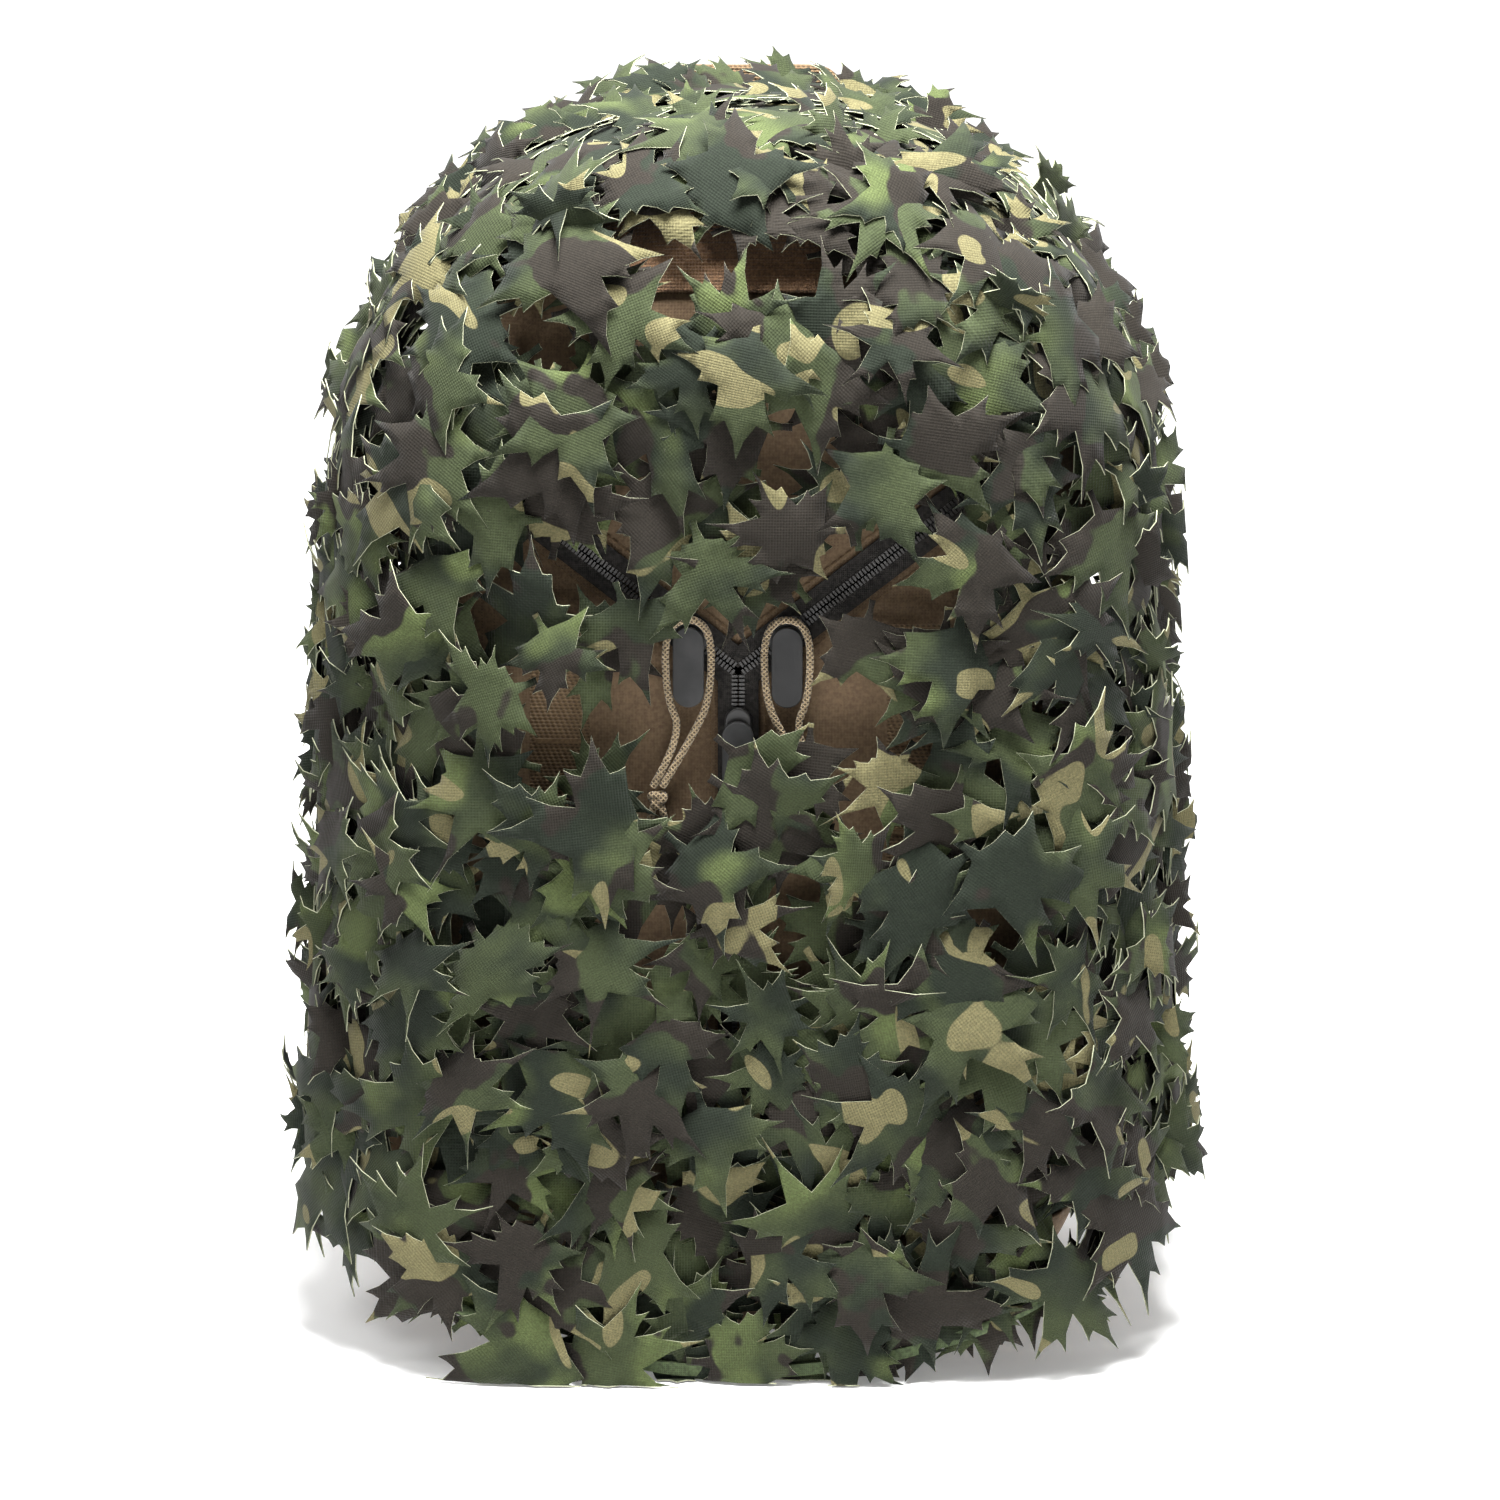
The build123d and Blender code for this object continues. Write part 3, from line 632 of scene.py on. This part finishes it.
def bareness(p):
    """How far into a window each point is: 1 at its middle, 0 from its edge outwards."""
    best = np.zeros(len(p))
    for (ax, az), (bx, bz), half in WINDOWS:
        run = np.array((bx - ax, bz - az))
        from_a = p[:, [0, 2]] - (ax, az)
        along = np.clip(from_a @ run / (run @ run), 0, 1)
        gap = np.linalg.norm(from_a - along[:, None] * run, axis=1)
        best = np.maximum(best, np.clip(1 - gap / half, 0, 1))
    return best * (p[:, 1] < COVER_LOW[1] + 0.03)


def scatter(rng, count, spacing):
    """Points on the cover's outer surface at least spacing(p) apart."""
    corners = []
    for node in ("cover_front", "cover_top", "cover_left", "cover_right"):
        mesh = NODES[node].data
        mesh.calc_loop_triangles()
        points = coordinates(mesh)
        corners.append(points[np.array([t.vertices[:] for t in mesh.loop_triangles])])
    corners = np.concatenate(corners)
    middle = corners.mean(axis=1)
    facing = np.cross(corners[:, 1] - corners[:, 0], corners[:, 2] - corners[:, 0])
    double_area = np.linalg.norm(facing, axis=1)
    outward = np.sum(facing * cover_form.normal(middle), axis=1) > 0.7 * double_area
    outer = outward & (cover_form.distance(middle) > -4 * MM)
    corners, double_area = corners[outer], double_area[outer]
    chosen = corners[rng.choice(len(corners), count, p=double_area / double_area.sum())]
    a, b = rng.random(count), rng.random(count)
    flip = a + b > 1
    a[flip], b[flip] = 1 - a[flip], 1 - b[flip]
    one_way, other_way = chosen[:, 1] - chosen[:, 0], chosen[:, 2] - chosen[:, 0]
    spots = chosen[:, 0] + a[:, None] * one_way + b[:, None] * other_way
    taken = np.empty((0, 3))
    for spot, gap in zip(spots, spacing(spots)):
        if len(taken) and np.min(np.sum((taken - spot) ** 2, axis=1)) < gap * gap:
            continue
        taken = np.vstack([taken, spot])
    return taken


def open_front(p):
    """1 in the upper middle of the front, where the cloth is cut most open, down to 0 elsewhere."""
    across = np.clip((0.135 - np.abs(p[..., 0])) / 0.05, 0, 1)
    up = np.clip((p[..., 2] - 0.20) / 0.09, 0, 1) * np.clip((0.50 - p[..., 2]) / 0.04, 0, 1)
    ahead = np.clip((COVER_LOW[1] + 0.045 - p[..., 1]) / 0.03, 0, 1)
    return across * up * ahead


LEAF_THICK = 0.55 * MM


class LeafLayer:
    """Leaves gathered into a few meshes, one to each part of the cover."""

    def __init__(self):
        self.parts = {}

    def add(self, part, points, faces, cloth):
        verts, tris, coords = self.parts.setdefault(part, ([], [], []))
        base = sum(len(v) for v in verts)
        verts.append(points)
        tris.append(faces + base)
        coords.append(cloth)

    def build(self, prefix):
        """The pieces, each with the flat area of its leaves."""
        made = []
        for part, (verts, tris, coords) in sorted(self.parts.items()):
            verts, tris, coords = np.vstack(verts), np.vstack(tris), np.vstack(coords)
            obj = piece(
                prefix + part, verts, tris, [LEAF, LEAF_BACK, LEAF_EDGE], "cover"
            )
            layer = obj.data.attributes.new("cloth", "FLOAT_VECTOR", "POINT")
            layer.data.foreach_set("vector", coords.astype(np.float32).ravel())
            thick = obj.modifiers.new("thickness", "SOLIDIFY")
            thick.thickness = LEAF_THICK
            thick.offset = -1
            thick.material_offset = 1
            thick.material_offset_rim = 2
            first, second, third = verts[tris[:, 0]], verts[tris[:, 1]], verts[tris[:, 2]]
            doubles = np.linalg.norm(np.cross(second - first, third - first), axis=1)
            made.append((obj, 0.5 * doubles.sum()))
        return made


def part_of(spot):
    """Which part of the cover a leaf belongs to."""
    if spot[1] < COVER_LOW[1] + 0.080:
        side = "left" if spot[0] < 0 else "right"
        level = "high" if spot[2] > 0.33 else "middle" if spot[2] > 0.17 else "low"
        return f"front_{level}_{side}"
    if spot[2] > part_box("cover_top")[0][2]:
        return "top"
    return "side_left" if spot[0] < 0 else "side_right"


def between(rng, span):
    return rng.uniform(*span)


def shaped(flat, size, lean, curve, fold, twist):
    """A flat leaf bent up along its length and folded about its middle: across, along, height."""
    reach = (flat[:, 1] + 0.05) * size
    aside = flat[:, 0] * size
    turn = lean + curve * reach
    along = (np.sin(turn) - math.sin(lean)) / curve - 0.38 * size
    height = (math.cos(lean) - np.cos(turn)) / curve
    height += fold * np.abs(aside) + twist * aside * (flat[:, 1] + 0.1)
    return aside * math.cos(fold), along, height


def hang(normal, away):
    """The way along the surface in which a leaf hangs: down, or away from the front."""
    aim = np.array((0, 1.0, 0)) if away else np.array((0, 0, -1.0))
    if abs(aim @ normal) > 0.9:
        aim = np.array((0, -1.0, 0)) if not away else np.array((0, 0, 1.0))
    aim = aim - normal * (aim @ normal)
    return aim / np.linalg.norm(aim)


TRIES = 12  # places and turns tried for a leaf before it covers part of a window
NUDGE = 5 * MM  # how far it may be moved for that
BARE_ENOUGH = 0.004
RIPPLE, RIPPLE_RATE = 1.2 * MM, 90
HIGHEST, HIGHEST_ON_TOP = 16.5 * MM, 6 * MM  # how far out a leaf goes, and how much more on top
LOWEST = 1.4 * MM  # above the floor


def grow(layer, rng, spots, kind):
    """Lays one leaf at each spot, in the way that its kind of layer does."""
    normals = cover_form.normal(spots)
    for spot, normal in zip(spots, normals):
        if abs(normal[1]) > kind["facing"]:
            continue
        down = hang(normal, kind["away"])
        across = np.cross(down, normal)
        flat, faces = LEAVES[rng.integers(len(LEAVES))]
        size = between(rng, kind["size"])
        curve = between(rng, kind["curve"]) + 0.01
        lean = between(rng, kind["lean"])
        fold = between(rng, kind["fold"])
        aside, along, height = shaped(flat, size, lean, curve, fold, rng.normal(0, 0.3))
        best = None
        for _ in range(TRIES):
            turn = rng.normal(0, kind["stray"])
            ahead = down * math.cos(turn) + across * math.sin(turn)
            nudge = NUDGE * (rng.normal() * down + rng.normal() * across)
            points = spot + nudge + aside[:, None] * np.cross(ahead, normal) + along[:, None] * ahead
            bare = np.mean(bareness(points))
            if best is None or bare < best[0]:
                best = (bare, points)
            if bare < BARE_ENOUGH:
                break
        bare, points = best
        if bare > kind["veil"]:
            continue
        wave = RIPPLE * np.sin(points @ rng.normal(0, RIPPLE_RATE, 3) + rng.uniform(0, 6))
        height = height + wave + between(rng, kind["start"]) * MM
        edge_on = 0 if kind["away"] else 0.55 * max(0, 1 - abs(normal[1]) / 0.6)
        most = between(rng, kind["most"]) * (1 - edge_on) * MM
        height = np.where(height > 0, most * np.tanh(height / most), height)
        height = np.minimum(height, HIGHEST + HIGHEST_ON_TOP * max(0, normal[2]))
        points = cover_form.lay(points, height)
        points[:, 2] = np.maximum(points[:, 2], LOWEST)
        shift = rng.uniform(-1, 1, 3)
        if rng.random() < kind["loose"]:
            cloth = np.column_stack([flat * size, np.zeros(len(flat))]) + shift
        else:
            cloth = points.copy()
        layer.add(part_of(spot), points, faces, cloth)


# Each layer of leaves, from the inside out. size, gap and open_gap, the spacing where the cloth is cut
# most open, are in metres. lean, curve and fold are how a leaf stands up, curls and folds. start and
# most are where its stalk lies and how far out its tip reaches, in mm. It points away from the front
# or else down, and strays from that. facing is the most that the cover may face the front where it
# grows, veil how much of a window it may cover, and loose the share cut from elsewhere in the print.
INNER = {
    "size": (0.046, 0.062), "lean": (-0.05, 0.10), "curve": (-4, 5), "fold": (-0.10, 0.10),
    "start": (-8.0, -5.5), "most": (1.5, 2.5), "away": False, "stray": 3.0, "facing": 2.0,
    "veil": 0.050, "loose": 0.3, "gap": 0.0300, "open_gap": 0.0380,
}
MIDDLE_LAYER = {
    "size": (0.044, 0.062), "lean": (-0.02, 0.22), "curve": (-6, 8), "fold": (-0.12, 0.22),
    "start": (-4.0, -1.5), "most": (4.0, 9.0), "away": False, "stray": 2.4, "facing": 2.0,
    "veil": 0.055, "loose": 0.4, "gap": 0.0240, "open_gap": 0.0240,
}
OUTER = {
    "size": (0.048, 0.074), "lean": (0.05, 0.55), "curve": (-12, 14), "fold": (-0.25, 0.35),
    "start": (-1.0, 2.0), "most": (6.0, 15.0), "away": False, "stray": 1.3, "facing": 2.0,
    "veil": 0.040, "loose": 1.0, "gap": 0.0250, "open_gap": 0.0290,
}
FLARED = {
    "size": (0.036, 0.050), "lean": (0.70, 1.25), "curve": (-7, 6), "fold": (-0.2, 0.2),
    "start": (-13.0, -7.0), "most": (17.0, 26.0), "away": True, "stray": 0.6, "facing": 0.60,
    "veil": 0.030, "loose": 1.0, "gap": 0.0290, "open_gap": 0.0290,
}


def cover_leaves():
    rng = np.random.default_rng(4)
    layer = LeafLayer()
    for kind in (INNER, MIDDLE_LAYER, OUTER, FLARED):
        widening = kind["open_gap"] - kind["gap"]
        spots = scatter(rng, 9000, lambda p: kind["gap"] + widening * open_front(p))
        grow(layer, rng, spots, kind)
    return layer.build("leaves_")


CLOTH_LEFT = 0.62  # the share of the cover's flat cloth that its cuts leave
leaf_pieces = cover_leaves()
for hem in ("cover_rear_hem", "cover_lower_hem"):
    flat_copy(hem, HEM_CLOTH, 0.5 * MM)
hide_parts("cover_front", "cover_top", "cover_left", "cover_right")
for obj, area in leaf_pieces:
    side = math.sqrt(area / CLOTH_LEFT)

# ---- the pack's cloth -------------------------------------------------------------------------------
for wall in ("back_panel", "bottom_pan", "top_yoke", "left_side_panel", "right_side_panel"):
    soft_copy(wall, COYOTE)


BY_ZIP, BY_RIM, BY_SILL = 14 * MM, 30 * MM, 12 * MM


def at_seams(p):
    """Points of the front flaps near a zip, a fold or the rounded edge, where the cloth is held."""
    slant = (p[:, 2] - VEE_Z) * math.cos(VEE_SLOPE) - np.abs(p[:, 0]) * math.sin(VEE_SLOPE)
    upright = np.where(p[:, 2] < VEE_Z, np.abs(p[:, 0]), 1.0)
    rim = pack_form.outline(p[:, 0], p[:, 2]) > -BY_RIM
    return (np.abs(slant) < BY_ZIP) | (upright < BY_ZIP) | rim | (p[:, 2] < SILL_Z + BY_SILL)


for flap, fold_wide in (("top_flap", 0.030), ("left_flap", 0.024), ("right_flap", 0.024)):
    folding_copy(flap, at_seams)
for pocket in ("left_side_pocket", "right_side_pocket"):
    soft_copy(pocket, COYOTE)
soft_copy("loop_field", LOOP_PILE, 1.0 * MM, 0.15 * MM)
soft_copy("hydration_sleeve", LINING, 1.0 * MM, 0.3 * MM)
for band in (
    "left_front_webbing",
    "right_front_webbing",
    "left_compression_strap",
    "right_compression_strap",
    "lower_front_straps",
    "lower_webbings",
    "load_lifters",
    "sternum_straps",
    "handle_base",
):
    flat_copy(band, WEBBING)
for tape in ("top_zip_half", "left_zip_half", "right_zip_half"):
    flat_copy(tape, ZIP_TAPE, 0.05 * MM)
flat_copy("lid_pocket_zip", COYOTE, 0.05 * MM)
soft_copy("haul_handle", WEBBING, 1.2 * MM, 0.3 * MM)
for pad in ("upper_back_pad", "lumbar_pad"):
    base_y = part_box(pad)[0][1] + 2.5 * MM
    padded_copy(pad, PAD_MESH, lambda p: p[:, 1] < base_y)
for strap in ("left_shoulder_strap", "right_shoulder_strap"):
    low_z, high_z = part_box(strap)[0][2] + 12 * MM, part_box(strap)[1][2] - 12 * MM
    padded_copy(strap, PAD_MESH, lambda p: (p[:, 2] < low_z) | (p[:, 2] > high_z), 4 * MM, 2.5 * MM)

# ---- zip coils and stitches --------------------------------------------------------------------------
def blocks(name, spots, half, heights, material, body):
    """Small blocks on the pack's front. A spot is x, z and the angle of the block's long side."""
    verts, levels, faces = [], [], []
    for x, z, aim in spots:
        base = len(verts)
        for height in heights:
            for a, b in ((-1, -1), (1, -1), (1, 1), (-1, 1)):
                along, across = a * half[0], b * half[1]
                vert_x = x + along * math.cos(aim) - across * math.sin(aim)
                vert_z = z + along * math.sin(aim) + across * math.cos(aim)
                verts.append((vert_x, PACK_FRONT, vert_z))
                levels.append(height)
        faces.append([base + k for k in (4, 5, 6, 7)])
        for k in range(4):
            after = (k + 1) % 4
            faces.append([base + k, base + after, base + 4 + after, base + 4 + k])
    points = pack_form.lay(np.array(verts), np.array(levels))
    made = piece(name, points, faces, [material], body)
    made.data.shade_flat()
    return made


def slant_spots(side, offset, pitch, reach, turn):
    """Spots beside a slanting zip, offset above its middle line, each turned from its direction."""
    spots = []
    aim = math.atan2(math.sin(VEE_SLOPE), side * math.cos(VEE_SLOPE))
    start = abs(offset) * math.tan(VEE_SLOPE) + pitch if offset > 0 else pitch
    for step in np.arange(start, reach, pitch):
        x = side * (step * math.cos(VEE_SLOPE) - offset * math.sin(VEE_SLOPE))
        z = VEE_Z + step * math.sin(VEE_SLOPE) + offset * math.cos(VEE_SLOPE)
        if side * x > abs(offset) * (offset < 0):
            spots.append((x, z, aim + turn))
    return spots


def upright_spots(offset, pitch, turn):
    """Spots beside the upright zip, each turned from its direction."""
    top = VEE_Z - abs(offset) * 1.2
    return [(offset, z, math.pi / 2 + turn) for z in np.arange(SILL_Z + 4 * MM, top, pitch)]


COIL_OFFSET, COIL_PITCH, COIL_REACH = 1.5 * MM, 1.7 * MM, 0.128
SEAM_OFFSET, SEAM_PITCH, SEAM_REACH = 11.5 * MM, 3.6 * MM, 0.140
TOOTH, LID_TOOTH = (1.2 * MM, 0.5 * MM), (2.4 * MM, 0.5 * MM)
TOOTH_HEIGHTS = (1.2 * MM, 2.1 * MM)
STITCH, STITCH_HEIGHTS = (1.3 * MM, 0.3 * MM), (-0.6 * MM, 0.9 * MM)
LID_STITCH_HEIGHTS = (1.2 * MM, 2.0 * MM)
TACK, TACK_HEIGHTS = (10 * MM, 1.0 * MM), (1.2 * MM, 2.6 * MM)
LID_SEAM_OFFSET = 8 * MM
ACROSS = math.pi / 2


def coil(name, teeth, body, tooth=TOOTH):
    blocks(name, teeth, tooth, TOOTH_HEIGHTS, ZIP_COIL, body)


def seam(name, stitches, body):
    blocks(name, stitches, STITCH, STITCH_HEIGHTS, THREAD, body)


tack_x = middle_of("right_front_webbing", 0)
top_teeth, top_seams = [], []
for name, side in (("left", -1), ("right", 1)):
    top_teeth += slant_spots(side, COIL_OFFSET, COIL_PITCH, COIL_REACH, ACROSS)
    top_seams += slant_spots(side, SEAM_OFFSET, SEAM_PITCH, SEAM_REACH, 0)
    teeth = slant_spots(side, -COIL_OFFSET, COIL_PITCH, COIL_REACH, ACROSS)
    teeth += upright_spots(side * COIL_OFFSET, COIL_PITCH, ACROSS)
    seams = slant_spots(side, -SEAM_OFFSET, SEAM_PITCH, SEAM_REACH, 0)
    seams += upright_spots(side * SEAM_OFFSET, SEAM_PITCH, 0)
    flap = f"{name}_flap"
    coil(f"{name}_coil", teeth, flap)
    seam(f"{name}_seam", seams, flap)
    tacks = [(side * tack_x, z, 0) for z in np.arange(0.084, 0.320, 0.038)]
    blocks(f"{name}_tacks", tacks, TACK, TACK_HEIGHTS, THREAD, flap)
coil("top_coil", top_teeth, "top_flap")
seam("top_seam", top_seams, "top_flap")
lid_low, lid_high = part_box("lid_pocket_zip")
lid_z = middle_of("lid_pocket_zip", 2)
lid_run = np.arange(lid_low[0] + 4 * MM, lid_high[0] - 4 * MM, COIL_PITCH)
coil("lid_coil", [(x, lid_z, ACROSS) for x in lid_run], "top_flap", LID_TOOTH)
lid_seams = [(x, lid_z + edge * LID_SEAM_OFFSET, 0) for x in lid_run[::2] for edge in (-1, 1)]
blocks("lid_seam", lid_seams, STITCH, LID_STITCH_HEIGHTS, THREAD, "top_flap")

# ---- hard parts -------------------------------------------------------------------------------------
for node in ("left_slider", "right_slider", "center_slider", "lid_pocket_slider"):
    repaint(node, BLACK_METAL, 0.2 * MM)
for node in ("left_pull_tab", "right_pull_tab", "center_pull_tab"):
    repaint(node, BLACK_RUBBER, 0.2 * MM)
for node in ("strap_glides", "ladder_locks", "sternum_socket", "sternum_plug"):
    repaint(node, BUCKLE, 0.3 * MM)
for side in ("left", "right"):
    repaint(f"{side}_buckle_socket", BUCKLE, 0.3 * MM)
    repaint(f"{side}_buckle_plug", BUCKLE, 0.3 * MM)
repaint("frame_sheet", FRAME_SHEET, 0.3 * MM)
repaint("frame_stay", stay_material(), 0.3 * MM)


# ---- the cords on the zip pulls ----------------------------------------------------------------------
CORD_RADIUS = 1.6 * MM
CORD_BESIDE = 9.5 * MM  # from the tab's middle line to a strand
CORD_CLOSE = 2.0 * MM  # the same below the tab
CORD_DROP = 64 * MM
CORD_DRIFT = 13 * MM
KNOT_DROP = 69.3 * MM  # from the slider's middle to the knot's


def tube(name, lines, radius, material, body, sides=10):
    """Round tubes along lines of points, each of which is closed or open, in one mesh."""
    verts, faces = [], []
    for line, closed in lines:
        line = np.array(line)
        count = len(line)
        base = len(verts)
        for index in range(count):
            before = line[index - 1] if closed or index else line[0]
            after = line[(index + 1) % count] if closed or index < count - 1 else line[-1]
            ahead = (after - before) / np.linalg.norm(after - before)
            aside = np.cross(ahead, (0.21, 0.95, 0.23))
            aside /= np.linalg.norm(aside)
            up = np.cross(aside, ahead)
            for turn in np.linspace(0, math.tau, sides, endpoint=False):
                verts.append(line[index] + radius * (math.cos(turn) * aside + math.sin(turn) * up))
        for index in range(count if closed else count - 1):
            here, there = base + index * sides, base + (index + 1) % count * sides
            for k in range(sides):
                after = (k + 1) % sides
                faces.append((here + k, here + after, there + after, there + k))
        if not closed:
            faces.append(tuple(base + k for k in reversed(range(sides))))
            faces.append(tuple(base + (count - 1) * sides + k for k in range(sides)))
    return piece(name, verts, faces, [material], body)


def knot_lines(x, y, z):
    """An overhand knot with its two tails, about a middle."""
    ring = []
    for turn in np.linspace(0, math.tau, 48, endpoint=False):
        ring_x = x + (math.sin(turn) + 2 * math.sin(2 * turn)) * MM
        ring_y = y - math.sin(3 * turn) * 1.1 * MM
        ring_z = z + (math.cos(turn) - 2 * math.cos(2 * turn)) * MM
        ring.append((ring_x, ring_y, ring_z))
    lines = [(ring, True)]
    for side in (-1, 1):
        tail = ((1.0, 1), (2.2, 5), (3.0, 9))
        lines.append(([(x + side * out * MM, y, z - down * MM) for out, down in tail], False))
    return lines


def pull_cord(name, side):
    """The cord that goes over a zip's pull tab and down both its sides to a knot."""
    x, y, z = side * PULL_X, middle_of(f"{name}_pull_tab", 1), PULL_Z
    knot_x = x + side * CORD_DRIFT
    route = [
        (knot_x - CORD_CLOSE, y, z - CORD_DROP),
        (x - CORD_CLOSE, y, z - 0.042),
        (x - CORD_BESIDE, y, z - 0.025),
        (x - CORD_BESIDE, y, z + 0.007),
        (x + CORD_BESIDE, y, z + 0.007),
        (x + CORD_BESIDE, y, z - 0.025),
        (x + CORD_CLOSE, y, z - 0.042),
        (knot_x + CORD_CLOSE, y, z - CORD_DROP),
    ]
    data = bpy.data.curves.new(f"{name}_cord", "CURVE")
    data.dimensions = "3D"
    spline = data.splines.new("NURBS")
    spline.points.add(len(route) - 1)
    for point, place in zip(spline.points, route):
        point.co = (*place, 1)
    spline.order_u = 3
    spline.use_endpoint_u = True
    spline.resolution_u = 12
    data.bevel_depth = CORD_RADIUS
    data.bevel_resolution = 3
    data.use_fill_caps = True
    data.materials.append(BRAID)
    cord = bpy.data.objects.new(f"{name}_cord", data)
    bpy.context.scene.collection.objects.link(cord)
    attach(cord, f"{name}_pull")
    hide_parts(f"{name}_pull_cord")
    knot_run = knot_lines(knot_x, y, z - KNOT_DROP)
    knot = tube(f"{name}_knot", knot_run, CORD_RADIUS, BRAID, f"{name}_pull")
    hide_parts(f"{name}_cord_knot")


pull_cord("left", -1)
pull_cord("right", 1)


# ---- camera, floor and light ------------------------------------------------------------------------
def look(obj, target):
    obj.rotation_euler = (Vector(target) - obj.location).to_track_quat("-Z", "Y").to_euler()


CAMERA_DISTANCE = 2.2
CAMERA_TURN = math.radians(1.5)
CAMERA_RISE = math.radians(12)
MIDDLE = Vector((0, 0, 0.263))

camera = bpy.data.objects.new("camera", bpy.data.cameras.new("camera"))
bpy.context.scene.collection.objects.link(camera)
level = CAMERA_DISTANCE * math.cos(CAMERA_RISE)
camera.location = MIDDLE + Vector(
    (
        level * math.sin(CAMERA_TURN),
        -level * math.cos(CAMERA_TURN),
        CAMERA_DISTANCE * math.sin(CAMERA_RISE),
    )
)
look(camera, MIDDLE)
camera.data.lens = 119.9
camera.data.shift_x = 0.003
camera.data.shift_y = -0.027
camera.data.clip_end = 50
bpy.context.scene.camera = camera

bpy.ops.mesh.primitive_plane_add(size=60)
floor = bpy.context.object
floor.name = "floor"
floor_shader = Shader("floor", roughness=0.9, specular=0.1)
floor_shader.bump(floor_shader.noise(floor_shader.place(), 40, 4), 0.05, 1 * MM)
# Painted light: the floor glows, weakly near the pack, where this lightens its shadow, and more
# strongly further out.
floor_shader.bsdf.inputs["Emission Color"].default_value = (1, 1, 1, 1)
distance = floor_shader.add("VectorMath", {0: floor_shader.place()}, operation="LENGTH")
far_out = floor_shader.ramp(distance.outputs["Value"], 0.5, 3.0)
painted_floor_glow = floor_shader.math("MULTIPLY_ADD", far_out, 0.5, 0.18)
floor_shader.tree.links.new(painted_floor_glow, floor_shader.bsdf.inputs["Emission Strength"])
floor.data.materials.append(floor_shader.paint((0.92, 0.92, 0.92, 1)))


def softbox(name, place, size, power):
    light = bpy.data.objects.new(name, bpy.data.lights.new(name, "AREA"))
    light.data.shape = "DISK"
    light.data.size = size
    light.data.energy = power
    light.location = place
    look(light, MIDDLE)
    bpy.context.scene.collection.objects.link(light)


softbox("key_light", (-1.3, -1.6, 2.6), 1.2, 26)
softbox("top_light", (0.05, -0.32, 1.3), 0.6, 85)
softbox("rear_light", (-0.6, 2.6, 2.0), 2.0, 22)
world = bpy.data.worlds.new("studio")
world.use_nodes = True
studio = world.node_tree
background = studio.nodes["Background"]
background.inputs[0].default_value = (1.0, 1.0, 1.0, 1)
direction = studio.nodes.new("ShaderNodeTexCoord")
parts = studio.nodes.new("ShaderNodeSeparateXYZ")
strength = studio.nodes.new("ShaderNodeMapRange")  # dim in front of the pack, white behind it
for socket, value in (("From Min", -0.3), ("From Max", 0.4), ("To Min", 0.36), ("To Max", 0.9)):
    strength.inputs[socket].default_value = value
studio.links.new(direction.outputs["Generated"], parts.inputs[0])
studio.links.new(parts.outputs[1], strength.inputs["Value"])
studio.links.new(strength.outputs["Result"], background.inputs[1])
bpy.context.scene.world = world
bpy.context.scene.view_settings.view_transform = "Standard"
